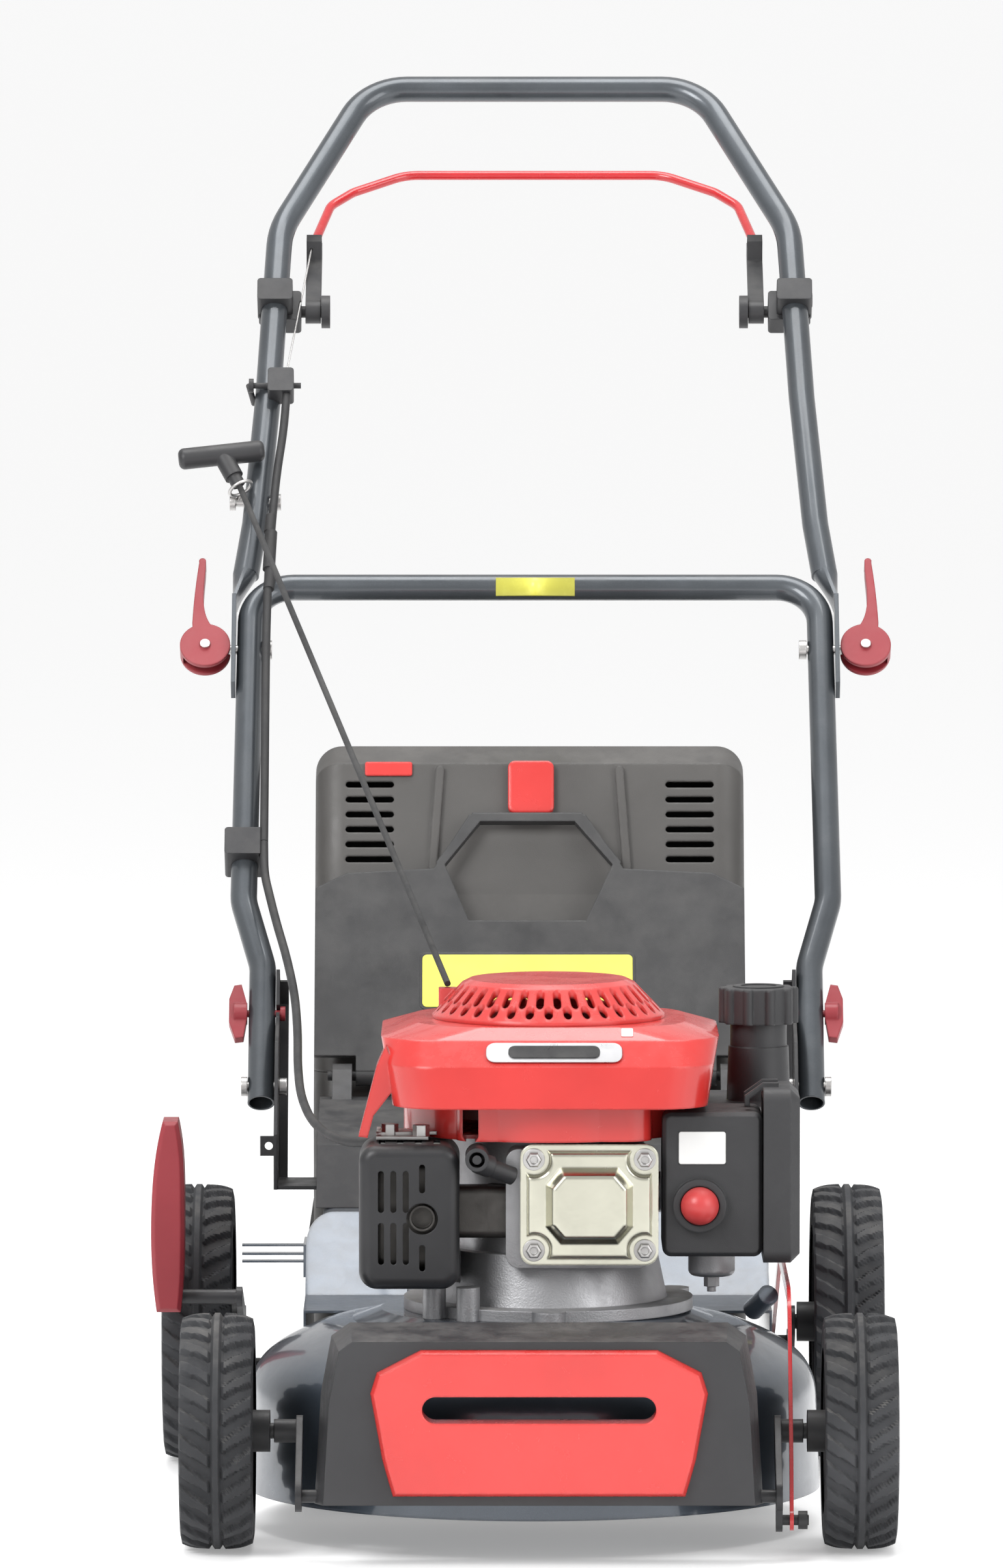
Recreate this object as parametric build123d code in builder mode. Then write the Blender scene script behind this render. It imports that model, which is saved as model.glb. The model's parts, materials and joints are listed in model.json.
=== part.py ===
"""Petrol push lawn mower: steel deck, rear catcher, folding handle and one height lever.

Millimetres. +X is the right side seen from the front, +Y points back to the operator, +Z is up.
The origin is on the ground under the middle of the mower.
"""

import os
from math import atan2, cos, degrees, hypot, pi, radians, sin, tan

from build123d import *

os.makedirs("parts", exist_ok=True)

# ---------------------------------------------------------------- driving dimensions
FRONT_AXLE_Y = -608.0
WHEELBASE = 540.0
REAR_AXLE_Y = FRONT_AXLE_Y + WHEELBASE
FRONT_WHEEL_R = 90.5
REAR_WHEEL_R = 111.5
TYRE_WIDTH = 56.0
FRONT_WHEEL_X = 244.5
REAR_WHEEL_LEFT_X = -272.0
REAR_WHEEL_RIGHT_X = 250.0

CRANK_BACK = 62.0
CRANK_RISE = 42.0
CRANK_SHAFT_R = 5.0
CRANK_PLATE_X = 182.0
LINK_PIN_R = 20.0
LINK_PIN_ANGLE = 72.0
LINK_X = 191.5

DECK_CENTRE_X = -4.0
DECK_CENTRE_Y = FRONT_AXLE_Y + 170.0
DECK_R = 223.0
DECK_SKIRT_Z = 28.0
DECK_TOP_Z = 166.0
DECK_WALL = 2.0
REAR_BODY_HALF = 183.0
REAR_BODY_BACK_Y = FRONT_AXLE_Y + 640.0
REAR_BODY_TOP_Z = 215.0

CRANK_X = 8.0
CRANK_Y = DECK_CENTRE_Y
CRANK_R = 12.5
BLADE_R = 200.0
BLADE_Z = 44.0

HANDLE_ANGLE = 52.0
TUBE_R = 11.0
TUBE_WALL = 1.5
PIVOT_Y = FRONT_AXLE_Y + 642.0
PIVOT_Z = 292.0
PIVOT_X = 224.0
KNOB_UP = 70.5
CLAMP_UP = 432.0
CROSSBAR_UP = 495.5
BAIL_UP = 794.0
TOP_BAR_UP = 1019.5
LOWER_TUBE_X = 237.5
UPPER_TUBE_X = 236.5
BAIL_BEHIND = 17.0
BAIL_REACH = 225.0
BAIL_ROD_R = 4.0
BAIL_REST = 22.0

FLAP_PIN_Y = FRONT_AXLE_Y + 650.0
FLAP_PIN_Z = 300.0
FLAP_LEAN = 58.0
CATCHER_X = -5.0
CATCHER_HALF = 177.0

RUN_GAP = 0.06
CLEAR = 0.4


# ---------------------------------------------------------------- shared helpers
def along_handle(up, front=0.0, x=0.0):
    """Point at a distance up the handle from its pivot, and in front of its middle plane."""
    c, s = cos(radians(HANDLE_ANGLE)), sin(radians(HANDLE_ANGLE))
    return Vector(x, PIVOT_Y + up * c - front * s, PIVOT_Z + up * s + front * c)


def handle_plane(up=0.0, front=0.0, x=0.0):
    """Plane of the handle: its X is the row's X, its Y runs up the tubes."""
    c, s = cos(radians(HANDLE_ANGLE)), sin(radians(HANDLE_ANGLE))
    return Plane(origin=along_handle(up, front, x), x_dir=(1, 0, 0), z_dir=(0, -s, c))


def x_plane(x, y=0.0, z=0.0):
    """Side-view plane: its X is the row's Y, its Y is the row's Z, its normal is +X."""
    return Plane(origin=(x, y, z), x_dir=(0, 1, 0), z_dir=(1, 0, 0))


def front_plane(y, x=0.0, z=0.0):
    """Front-view plane: its X is the row's X, its Y is the row's Z, its normal is -Y."""
    return Plane(origin=(x, y, z), x_dir=(1, 0, 0), z_dir=(0, -1, 0))


def save(part, name):
    part.label = name
    export_step(part, f"parts/{name}.step")


def tube_part(points, bends, radius, wall=0.0):
    """A round tube or rod along straight runs joined by bends."""
    with BuildPart() as tube:
        with BuildLine() as path:
            FilletPolyline(*points, radius=bends)
        with BuildSketch(Plane(origin=path.line @ 0, z_dir=path.line % 0)):
            Circle(radius)
            if wall:
                Circle(radius - wall, mode=Mode.SUBTRACT)
        sweep(path=path.line)
    return tube.part


def x_rod(x_from, x_to, y, z, radius):
    """Round bar along X."""
    with BuildPart() as rod:
        with BuildSketch(x_plane(x_from, y, z)):
            Circle(radius)
        extrude(amount=x_to - x_from)
    return rod.part


def polar(centre_y, centre_z, radius, angle):
    return centre_y + radius * cos(radians(angle)), centre_z + radius * sin(radians(angle))


# ---------------------------------------------------------------- wheels
FRONT_AXLE_Z = FRONT_WHEEL_R
REAR_AXLE_Z = REAR_WHEEL_R
STUB_R = 6.0
HUB_R = 17.0
RIM_SHARE = 0.70
HUB_HALF = 24.0


def make_wheel(corner, x, y, radius, inward, hub_reach):
    """A rim with five ribs on a hub, and the tyre on it. inward is +1 where the deck is on +X."""
    rim_r = radius * RIM_SHARE
    half = TYRE_WIDTH / 2
    axis = Axis((x, y, radius), (1, 0, 0))
    with BuildPart() as tyre:
        with BuildSketch(front_plane(y, x, radius)):
            with BuildLine():
                Polyline((-half, rim_r), (-half, radius - 7), (-half + 5, radius - 1.5))
                ThreePointArc((-half + 5, radius - 1.5), (0, radius), (half - 5, radius - 1.5))
                Polyline((half - 5, radius - 1.5), (half, radius - 7), (half, rim_r), (-half, rim_r))
            make_face()
        revolve(axis=axis)
    save(tyre.part, f"tyre_{corner}")

    with BuildPart() as rim:
        with BuildSketch(front_plane(y, x, radius)):
            with Locations((0, rim_r - 3.5)):
                Rectangle(2 * half - 4, 6.6)
            with Locations((0, rim_r / 2)):
                Rectangle(8, rim_r - 2)
            with Locations((0, (HUB_R + STUB_R) / 2)):
                Rectangle(2 * HUB_HALF, HUB_R - STUB_R)
        revolve(axis=axis)
        with BuildSketch(x_plane(x, y, radius)):
            with PolarLocations((HUB_R + rim_r) / 2 - 2, 8):
                Rectangle(rim_r - HUB_R, 5)
        extrude(amount=half - 8, both=True)
        with BuildSketch(x_plane(x, y, radius)):
            Circle(STUB_R + RUN_GAP)
        extrude(amount=half + 20, both=True, mode=Mode.SUBTRACT)
        with BuildSketch(Plane(origin=(x + inward * HUB_HALF, y, radius), z_dir=(inward, 0, 0))):
            Circle(HUB_R - 1)
            Circle(STUB_R + RUN_GAP, mode=Mode.SUBTRACT)
        extrude(amount=hub_reach - HUB_HALF)
    save(rim.part, f"rim_{corner}")


WHEELS = {
    "front_left": (-FRONT_WHEEL_X, FRONT_AXLE_Y, FRONT_WHEEL_R, 1, 40),
    "front_right": (FRONT_WHEEL_X, FRONT_AXLE_Y, FRONT_WHEEL_R, -1, 40),
    "rear_left": (REAR_WHEEL_LEFT_X, REAR_AXLE_Y, REAR_WHEEL_R, 1, 31),
    "rear_right": (REAR_WHEEL_RIGHT_X, REAR_AXLE_Y, REAR_WHEEL_R, -1, 40),
}
for corner, (wheel_x, wheel_y, wheel_r, inward, hub_reach) in WHEELS.items():
    make_wheel(corner, wheel_x, wheel_y, wheel_r, inward, hub_reach)


# ---------------------------------------------------------------- axles and height adjustment
FRONT_CRANK_Y = FRONT_AXLE_Y - CRANK_BACK
FRONT_CRANK_Z = FRONT_WHEEL_R - CRANK_RISE
REAR_CRANK_Y = REAR_AXLE_Y + CRANK_BACK
REAR_CRANK_Z = REAR_WHEEL_R - CRANK_RISE
PLATE_T = 5.0
FRONT_PIN = polar(FRONT_CRANK_Y, FRONT_CRANK_Z, LINK_PIN_R, -LINK_PIN_ANGLE)
REAR_PIN = polar(REAR_CRANK_Y, REAR_CRANK_Z, LINK_PIN_R, LINK_PIN_ANGLE)
REAR_PLATE_LEFT_X = -237.0
REAR_PLATE_RIGHT_X = 206.0


def crank_plate(x, start, end, width, thick=PLATE_T):
    """Flat arm with round ends between two (y, z) points, centred on x."""
    length = hypot(end[0] - start[0], end[1] - start[1])
    angle = degrees(atan2(end[1] - start[1], end[0] - start[0]))
    with BuildPart() as plate:
        with BuildSketch(x_plane(x - thick / 2, (start[0] + end[0]) / 2, (start[1] + end[1]) / 2)):
            SlotCenterToCenter(length, width, rotation=angle)
        extrude(amount=thick)
    return plate.part


with BuildPart() as front_axle:
    add(x_rod(-CRANK_PLATE_X, CRANK_PLATE_X, FRONT_CRANK_Y, FRONT_CRANK_Z, CRANK_SHAFT_R))
    for side in (-1, 1):
        add(crank_plate(side * CRANK_PLATE_X, (FRONT_CRANK_Y, FRONT_CRANK_Z), (FRONT_AXLE_Y, FRONT_AXLE_Z), 24))
        outer = side * (FRONT_WHEEL_X + TYRE_WIDTH / 2 - 3)
        low, high = sorted((side * CRANK_PLATE_X, outer))
        add(x_rod(low, high, FRONT_AXLE_Y, FRONT_AXLE_Z, STUB_R))
        low, high = sorted((side * (CRANK_PLATE_X + 2), side * (FRONT_WHEEL_X - TYRE_WIDTH / 2 - 15)))
        add(x_rod(low, high, FRONT_AXLE_Y, FRONT_AXLE_Z, 9))
    add(crank_plate(CRANK_PLATE_X, (FRONT_CRANK_Y, FRONT_CRANK_Z), FRONT_PIN, 18))
    add(x_rod(CRANK_PLATE_X, LINK_X + 13, *FRONT_PIN, 4))
    add(x_rod(LINK_X + 5, LINK_X + 12, *FRONT_PIN, 7))
save(front_axle.part, "front_axle")

LEVER_FOOT = (FRONT_AXLE_Y + 413.0, 146.0)
LEVER_X = -293.0

with BuildPart() as rear_axle:
    add(x_rod(REAR_PLATE_LEFT_X, REAR_PLATE_RIGHT_X, REAR_CRANK_Y, REAR_CRANK_Z, CRANK_SHAFT_R))
    add(crank_plate(REAR_PLATE_LEFT_X, (REAR_CRANK_Y, REAR_CRANK_Z), (REAR_AXLE_Y, REAR_AXLE_Z), 26))
    add(crank_plate(REAR_PLATE_LEFT_X, (REAR_AXLE_Y, REAR_AXLE_Z), LEVER_FOOT, 16))
    add(crank_plate(REAR_PLATE_RIGHT_X, (REAR_CRANK_Y, REAR_CRANK_Z), (REAR_AXLE_Y, REAR_AXLE_Z), 26))
    add(crank_plate(REAR_PLATE_RIGHT_X, (REAR_CRANK_Y, REAR_CRANK_Z), REAR_PIN, 18))
    add(x_rod(REAR_WHEEL_LEFT_X - TYRE_WIDTH / 2 + 3, REAR_PLATE_LEFT_X, REAR_AXLE_Y, REAR_AXLE_Z, STUB_R))
    add(x_rod(REAR_PLATE_RIGHT_X, REAR_WHEEL_RIGHT_X + TYRE_WIDTH / 2 - 3, REAR_AXLE_Y, REAR_AXLE_Z, STUB_R))
    add(x_rod(LINK_X - 4, REAR_PLATE_RIGHT_X, *REAR_PIN, 4))
    add(x_rod(LEVER_X + 4, REAR_PLATE_LEFT_X, LEVER_FOOT[0], LEVER_FOOT[1], 6))
save(rear_axle.part, "rear_axle")

GRIP_TOP_Z = 289.0
GRIP_W = 27.0

with BuildPart() as height_grip:
    with BuildSketch(front_plane(LEVER_FOOT[0] + 12, LEVER_X)):
        with BuildLine():
            l1 = Line((-9, 137), (10, 137))
            l2 = Spline(l1 @ 1, (12.5, 170), (13, 215), (12, 262), (8, GRIP_TOP_Z))
            l3 = Line(l2 @ 1, (-4, GRIP_TOP_Z))
            Spline(l3 @ 1, (-9.5, 262), (-13.2, 215), (-12.5, 170), l1 @ 0)
        make_face()
    extrude(amount=44)
    chamfer(height_grip.faces().filter_by(Axis.Y).edges(), 3)
    with BuildSketch(Plane(origin=(LEVER_X, *LEVER_FOOT), z_dir=(1, 0, 0))):
        Circle(6)
    extrude(amount=40, both=True, mode=Mode.SUBTRACT)
save(height_grip.part, "height_grip")

LINK_T = 3.0
LINK_TOP_Z = 190.0
SLOT_TALL = 3.5

with BuildPart() as link_rod:
    with BuildLine(x_plane(LINK_X)) as link_path:
        FilletPolyline(
            (FRONT_PIN[0], FRONT_PIN[1]),
            (FRONT_PIN[0] + 12, 70),
            (FRONT_AXLE_Y + 34, LINK_TOP_Z),
            (FRONT_AXLE_Y + 330, LINK_TOP_Z),
            (REAR_PIN[0], REAR_PIN[1]),
            radius=(40, 45, 80),
        )
    with BuildSketch(Plane(origin=link_path.line @ 0, x_dir=(1, 0, 0), z_dir=link_path.line % 0)):
        Rectangle(LINK_T, 11)
    sweep(path=link_path.line)
    with BuildSketch(x_plane(LINK_X - LINK_T / 2, *FRONT_PIN)):
        Circle(8)
    extrude(amount=LINK_T)
    with BuildSketch(x_plane(LINK_X - LINK_T / 2, *REAR_PIN)):
        SlotCenterToCenter(SLOT_TALL * 2, 17, rotation=90)
    extrude(amount=LINK_T)
    with BuildSketch(x_plane(LINK_X - LINK_T, *FRONT_PIN)):
        Circle(4 + RUN_GAP)
    extrude(amount=2 * LINK_T, mode=Mode.SUBTRACT)
    with BuildSketch(x_plane(LINK_X - LINK_T, *REAR_PIN)):
        SlotCenterToCenter(SLOT_TALL * 2, 8 + 2 * CLEAR, rotation=90)
    extrude(amount=2 * LINK_T, mode=Mode.SUBTRACT)
save(link_rod.part, "link_rod")


# ---------------------------------------------------------------- deck, bumper and rear housing
RING_R = 118.0
SHAFT_HOLE_R = 24.0


def deck_mass(shrink):
    """The deck as a filled body, smaller by the wall where it cuts the inside out."""
    half = REAR_BODY_HALF - shrink
    outer = DECK_R - shrink
    top = DECK_TOP_Z - shrink
    skirt = DECK_SKIRT_Z - shrink
    back = REAR_BODY_BACK_Y + (20 if shrink else 0)
    with BuildPart() as mass:
        with BuildSketch(front_plane(DECK_CENTRE_Y, DECK_CENTRE_X)):
            with BuildLine():
                Polyline((0, skirt), (outer, skirt), (outer - 3, 98))
                Spline(
                    (outer - 3, 98),
                    (outer - 16, 130),
                    (outer - 52, 151 - shrink / 2),
                    (RING_R + 22, 158 - shrink),
                    tangents=((-0.05, 1), (-1, 0.05)),
                )
                Polyline((RING_R + 22, 158 - shrink), (RING_R, top), (0, top), (0, skirt))
            make_face()
        revolve(axis=Axis((DECK_CENTRE_X, DECK_CENTRE_Y, 0), (0, 0, 1)))
        with BuildSketch(x_plane(-half)):
            with BuildLine():
                Polyline(
                    (DECK_CENTRE_Y + 60, DECK_SKIRT_Z - shrink),
                    (DECK_CENTRE_Y + 60, 156 - shrink),
                    (DECK_CENTRE_Y + 150, 158 - shrink),
                    (DECK_CENTRE_Y + 235, REAR_BODY_TOP_Z - shrink),
                    (back, REAR_BODY_TOP_Z - shrink),
                    (back, 52),
                    (DECK_CENTRE_Y + 330, skirt),
                    (DECK_CENTRE_Y + 60, skirt),
                )
            make_face()
        extrude(amount=2 * half)
    return mass.part


with BuildPart() as deck:
    add(deck_mass(0))
    top_edges = deck.edges().filter_by(Axis.Y).group_by(Axis.Z)[-1]
    fillet(top_edges, 22)
    add(deck_mass(DECK_WALL), mode=Mode.SUBTRACT)
    with BuildSketch(Plane.XY.offset(DECK_TOP_Z - 5)):
        with Locations((CRANK_X, CRANK_Y)):
            Circle(SHAFT_HOLE_R)
    extrude(amount=10, mode=Mode.SUBTRACT)
    add(x_rod(-REAR_BODY_HALF - 5, REAR_BODY_HALF + 5, REAR_CRANK_Y, REAR_CRANK_Z, 11))
    with BuildSketch(Plane(origin=(-REAR_BODY_HALF - 20, REAR_CRANK_Y, REAR_CRANK_Z), z_dir=(1, 0, 0))):
        Circle(CRANK_SHAFT_R + RUN_GAP)
    extrude(amount=2 * REAR_BODY_HALF + 40, mode=Mode.SUBTRACT)
    with BuildSketch(x_plane(-REAR_BODY_HALF - 2.8, FRONT_AXLE_Y + 430, 176)):
        Rectangle(60, 26)
    extrude(amount=3)
    for tab_z in (172, 178, 185):
        with BuildSketch(Plane.XY.offset(tab_z)):
            with Locations((-REAR_BODY_HALF - 26, FRONT_AXLE_Y + 430)):
                Rectangle(52, 10)
        extrude(amount=1.6)
    with BuildSketch(Plane(origin=(166, FRONT_AXLE_Y + 132, 168), z_dir=(0.35, -0.8, 0.45))):
        Circle(8)
    extrude(amount=32)
save(deck.part, "deck")

BUMPER_FRONT_Y = FRONT_AXLE_Y - 122.0
BUMPER_BACK_Y = FRONT_AXLE_Y - 54.5
BUMPER_TOP_Z = 180.0
BUMPER_LOW_Z = 42.0

BUMPER_FACE = [
    (-170, BUMPER_LOW_Z),
    (-165, 127),
    (-157, 170),
    (-143, BUMPER_TOP_Z),
    (143, BUMPER_TOP_Z),
    (157, 170),
    (165, 127),
    (170, BUMPER_LOW_Z),
]
PANEL_FACE = [
    (-110, 56),
    (-113, 66),
    (-118, 84),
    (-127, 134),
    (-122, 150),
    (-89, 167),
    (89, 167),
    (122, 150),
    (127, 134),
    (118, 84),
    (113, 66),
    (110, 56),
]
SLOT_W, SLOT_H, SLOT_Z = 176.0, 20.0, 122.0

with BuildPart() as front_bumper:
    with BuildSketch(front_plane(BUMPER_BACK_Y)):
        with BuildLine():
            Polyline(*BUMPER_FACE, close=True)
        make_face()
    extrude(amount=BUMPER_BACK_Y - BUMPER_FRONT_Y, taper=6)
    with BuildSketch(front_plane(BUMPER_BACK_Y + 1)):
        with BuildLine():
            Polyline(*[(0.97 * px, 42 + (pz - 42) * 0.95 + 3) for px, pz in BUMPER_FACE], close=True)
        make_face()
    extrude(amount=BUMPER_BACK_Y - BUMPER_FRONT_Y - 6, taper=6, mode=Mode.SUBTRACT)
    with BuildSketch(front_plane(BUMPER_BACK_Y)):
        with Locations((0, SLOT_Z)):
            SlotOverall(SLOT_W + 14, SLOT_H + 14)
    extrude(amount=200, mode=Mode.SUBTRACT)
    with BuildSketch(x_plane(-200, FRONT_CRANK_Y, FRONT_CRANK_Z)):
        Circle(CRANK_SHAFT_R + RUN_GAP)
    extrude(amount=400, mode=Mode.SUBTRACT)
    with BuildSketch(Plane.XY.offset(BUMPER_LOW_Z - 1)):
        with Locations((0, BUMPER_FRONT_Y + 12)):
            with GridLocations(44, 10, 6, 1):
                Rectangle(13, 16)
    extrude(amount=7, mode=Mode.SUBTRACT)
save(front_bumper.part, "front_bumper")

PANEL_T = 6.0
with BuildPart() as bumper_panel:
    with BuildSketch(front_plane(BUMPER_FRONT_Y - 0.05)):
        with BuildLine():
            Polyline(*PANEL_FACE, close=True)
        make_face()
    extrude(amount=PANEL_T, taper=25)
    with BuildSketch(front_plane(BUMPER_FRONT_Y + 20)):
        with Locations((0, SLOT_Z)):
            SlotOverall(SLOT_W + 12, SLOT_H + 12)
            SlotOverall(SLOT_W, SLOT_H, mode=Mode.SUBTRACT)
    extrude(amount=22)
    with BuildSketch(front_plane(BUMPER_FRONT_Y + 30)):
        with Locations((0, SLOT_Z)):
            SlotOverall(SLOT_W, SLOT_H)
    extrude(amount=60, mode=Mode.SUBTRACT)
save(bumper_panel.part, "bumper_panel")

HOUSING_BACK_Y = REAR_BODY_BACK_Y
with BuildPart() as rear_housing:
    with BuildSketch(x_plane(-176)):
        with BuildLine():
            Polyline(
                (DECK_CENTRE_Y + 262, REAR_BODY_TOP_Z + 0.05),
                (DECK_CENTRE_Y + 300, 262),
                (REAR_BODY_BACK_Y - 30, 284),
                (REAR_BODY_BACK_Y, 284),
                (REAR_BODY_BACK_Y, REAR_BODY_TOP_Z + 0.05),
                close=True,
            )
        make_face()
    extrude(amount=352)
    with BuildSketch(x_plane(-172)):
        with BuildLine():
            Polyline(
                (DECK_CENTRE_Y + 268, REAR_BODY_TOP_Z - 1),
                (DECK_CENTRE_Y + 304, 258),
                (REAR_BODY_BACK_Y - 30, 280),
                (REAR_BODY_BACK_Y + 1, 280),
                (REAR_BODY_BACK_Y + 1, REAR_BODY_TOP_Z - 1),
                close=True,
            )
        make_face()
    extrude(amount=344, mode=Mode.SUBTRACT)
    for ear_x in (-166, 150):
        with BuildSketch(x_plane(ear_x)):
            with BuildLine():
                Polyline(
                    (REAR_BODY_BACK_Y - 24, 284),
                    (FLAP_PIN_Y - 10, FLAP_PIN_Z + 6),
                    (FLAP_PIN_Y, FLAP_PIN_Z + 10),
                    (FLAP_PIN_Y + 8, FLAP_PIN_Z),
                    (REAR_BODY_BACK_Y, 284),
                    close=True,
                )
            make_face()
        extrude(amount=16)
    with BuildSketch(x_plane(-200, FLAP_PIN_Y, FLAP_PIN_Z)):
        Circle(4 + RUN_GAP)
    extrude(amount=400, mode=Mode.SUBTRACT)
    with BuildSketch(x_plane(-170, FLAP_PIN_Y, FLAP_PIN_Z)):
        Circle(3.97)
    extrude(amount=340)
save(rear_housing.part, "rear_housing")

BRACKET_T = 3.0
BRACKET_OUT_X = PIVOT_X - TUBE_R - CLEAR
KNOB_AT = along_handle(KNOB_UP)
BRACKET_OUTLINE = [
    (PIVOT_Y - 72, REAR_BODY_TOP_Z),
    (PIVOT_Y + 8, REAR_BODY_TOP_Z),
    (PIVOT_Y + 24, 262),
    (PIVOT_Y + 74, 352),
    (PIVOT_Y + 70, 373),
    (PIVOT_Y + 55, 383),
    (PIVOT_Y + 40, 357),
    (PIVOT_Y + 33, 346),
    (PIVOT_Y - 14, 330),
    (PIVOT_Y - 72, 260),
]

with BuildPart() as handle_brackets:
    for side in (-1, 1):
        near = side * (BRACKET_OUT_X - BRACKET_T)
        plate_x = min(near, side * BRACKET_OUT_X)
        with BuildSketch(x_plane(plate_x)):
            with BuildLine():
                Polyline(*BRACKET_OUTLINE, close=True)
            make_face()
            with Locations((PIVOT_Y, PIVOT_Z)):
                Circle(4 + RUN_GAP, mode=Mode.SUBTRACT)
            with Locations((KNOB_AT.Y, KNOB_AT.Z)):
                Circle(3 + CLEAR, mode=Mode.SUBTRACT)
            with Locations((KNOB_AT.Y - 8, KNOB_AT.Z + 6.2)):
                Rectangle(20, 2 * (3 + CLEAR), rotation=HANDLE_ANGLE + 90, mode=Mode.SUBTRACT)
        extrude(amount=BRACKET_T)
        flange_x = min(near, side * (BRACKET_OUT_X - 10))
        with BuildSketch(x_plane(flange_x)):
            with BuildLine():
                Polyline(
                    (PIVOT_Y + 8, REAR_BODY_TOP_Z),
                    (PIVOT_Y + 24, 262),
                    (PIVOT_Y + 74, 352),
                    (PIVOT_Y + 70, 373),
                    (PIVOT_Y + 67, 372),
                    (PIVOT_Y + 71, 353),
                    (PIVOT_Y + 21, 263),
                    (PIVOT_Y + 5, REAR_BODY_TOP_Z),
                    close=True,
                )
            make_face()
        extrude(amount=7)
        foot_x = min(side * BRACKET_OUT_X, side * (REAR_BODY_HALF - 5))
        with BuildSketch(x_plane(foot_x)):
            with Locations((PIVOT_Y - 37, REAR_BODY_TOP_Z + 1.6)):
                Rectangle(68, 3)
        extrude(amount=BRACKET_OUT_X - REAR_BODY_HALF + 5)
    with BuildSketch(front_plane(PIVOT_Y - 66, -BRACKET_OUT_X - 4, 250)):
        Rectangle(14, 16)
        Circle(3.3, mode=Mode.SUBTRACT)
    extrude(amount=-3)
save(handle_brackets.part, "handle_brackets")




# ---------------------------------------------------------------- engine
BLOCK_BASE_Z = DECK_TOP_Z + 0.05
CYL_X = 39.0
CYL_Z = 257.0
HEAD_Y = FRONT_AXLE_Y + 66.0
FLYWHEEL_Z = 318.0
HOUSING_LOW_Z = 305.0
HOUSING_TOP_Z = 350.0

with BuildPart() as engine_block:
    with BuildSketch(Plane.XY.offset(BLOCK_BASE_Z)):
        with Locations((CRANK_X, CRANK_Y)):
            Circle(112)
            with PolarLocations(112, 3, start_angle=30):
                Circle(13)
    extrude(amount=9)
    with BuildSketch(Plane.XY.offset(BLOCK_BASE_Z + 9)):
        with Locations((CRANK_X, CRANK_Y)):
            Circle(92)
    extrude(amount=40, taper=12)
    with BuildSketch(Plane.XY.offset(BLOCK_BASE_Z + 45)):
        with Locations((CRANK_X, CRANK_Y)):
            Circle(74)
    extrude(amount=HOUSING_LOW_Z - BLOCK_BASE_Z - 46)
    with BuildSketch(front_plane(CRANK_Y - 40, CYL_X, CYL_Z)):
        RectangleRounded(76, 70, 12)
    extrude(amount=CRANK_Y - 40 - HEAD_Y)
    for fin in range(9):
        with BuildSketch(front_plane(HEAD_Y + 8 + 7 * fin, CYL_X - 8, CYL_Z - 4)):
            RectangleRounded(112, 92, 10)
        extrude(amount=2.4)
    with BuildSketch(front_plane(HEAD_Y + 6, CYL_X, CYL_Z)):
        RectangleRounded(96, 84, 8)
    extrude(amount=6)
    with BuildSketch(Plane.XY.offset(BLOCK_BASE_Z - 1)):
        with Locations((CRANK_X, CRANK_Y)):
            Circle(CRANK_R + RUN_GAP)
    extrude(amount=200, mode=Mode.SUBTRACT)
    with BuildSketch(Plane.XY.offset(BLOCK_BASE_Z + 30)):
        with Locations((CRANK_X, CRANK_Y)):
            Circle(60)
    extrude(amount=80, mode=Mode.SUBTRACT)
    with BuildSketch(x_plane(-140, HEAD_Y + 20, 248)):
        Rectangle(90, 113)
    extrude(amount=80.2, mode=Mode.SUBTRACT)
    with BuildSketch(x_plane(-70, HEAD_Y + 36, 248)):
        RectangleRounded(27, 41, 6)
    extrude(amount=70 + CYL_X - 38, mode=Mode.SUBTRACT)
    with BuildSketch(x_plane(CRANK_X + 70, CRANK_Y - 52, 262)):
        Circle(15.3)
    extrude(amount=40, mode=Mode.SUBTRACT)
    for foot_x, foot_y in ((CRANK_X - 88, CRANK_Y - 78), (CRANK_X - 62, CRANK_Y - 96)):
        with BuildSketch(Plane.XY.offset(BLOCK_BASE_Z)):
            with Locations((foot_x, foot_y)):
                Circle(9)
        extrude(amount=26)
save(engine_block.part, "engine_block")

COVER_W, COVER_H = 106.0, 93.0
COVER_FACE_Y = HEAD_Y - 26.0
BOLT_X, BOLT_Z = 42.5, 35.0

with BuildPart() as valve_cover:
    with BuildSketch(front_plane(HEAD_Y, CYL_X, CYL_Z)):
        RectangleRounded(COVER_W, COVER_H, 10)
    extrude(amount=5)
    with BuildSketch(front_plane(HEAD_Y - 5, CYL_X, CYL_Z)):
        RectangleRounded(COVER_W - 10, COVER_H - 10, 14)
        with GridLocations(2 * BOLT_X, 2 * BOLT_Z, 2, 2):
            Circle(12, mode=Mode.SUBTRACT)
    extrude(amount=8, taper=12)
    fillet(valve_cover.faces().sort_by(Axis.Y)[0].edges(), 2)
    with BuildSketch(front_plane(HEAD_Y - 12, CYL_X, CYL_Z)):
        with BuildLine():
            Polyline((-34, -16), (-22, -30), (22, -30), (34, -16), (34, 16), (22, 30), (-22, 30), (-34, 16), close=True)
        make_face()
    extrude(amount=12, taper=28)
    fillet(valve_cover.faces().sort_by(Axis.Y)[0].edges(), 3)
    with BuildSketch(front_plane(HEAD_Y + 1, CYL_X, CYL_Z)):
        with GridLocations(2 * BOLT_X, 2 * BOLT_Z, 2, 2):
            Circle(3.4)
    extrude(amount=30, mode=Mode.SUBTRACT)
    with BuildSketch(front_plane(HEAD_Y + 0.5, CYL_X, CYL_Z)):
        with BuildLine():
            Polyline((-32, -15), (-20, -28), (20, -28), (32, -15), (32, 15), (20, 28), (-20, 28), (-32, 15), close=True)
        make_face()
    extrude(amount=20, taper=20, mode=Mode.SUBTRACT)
save(valve_cover.part, "valve_cover")

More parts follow.
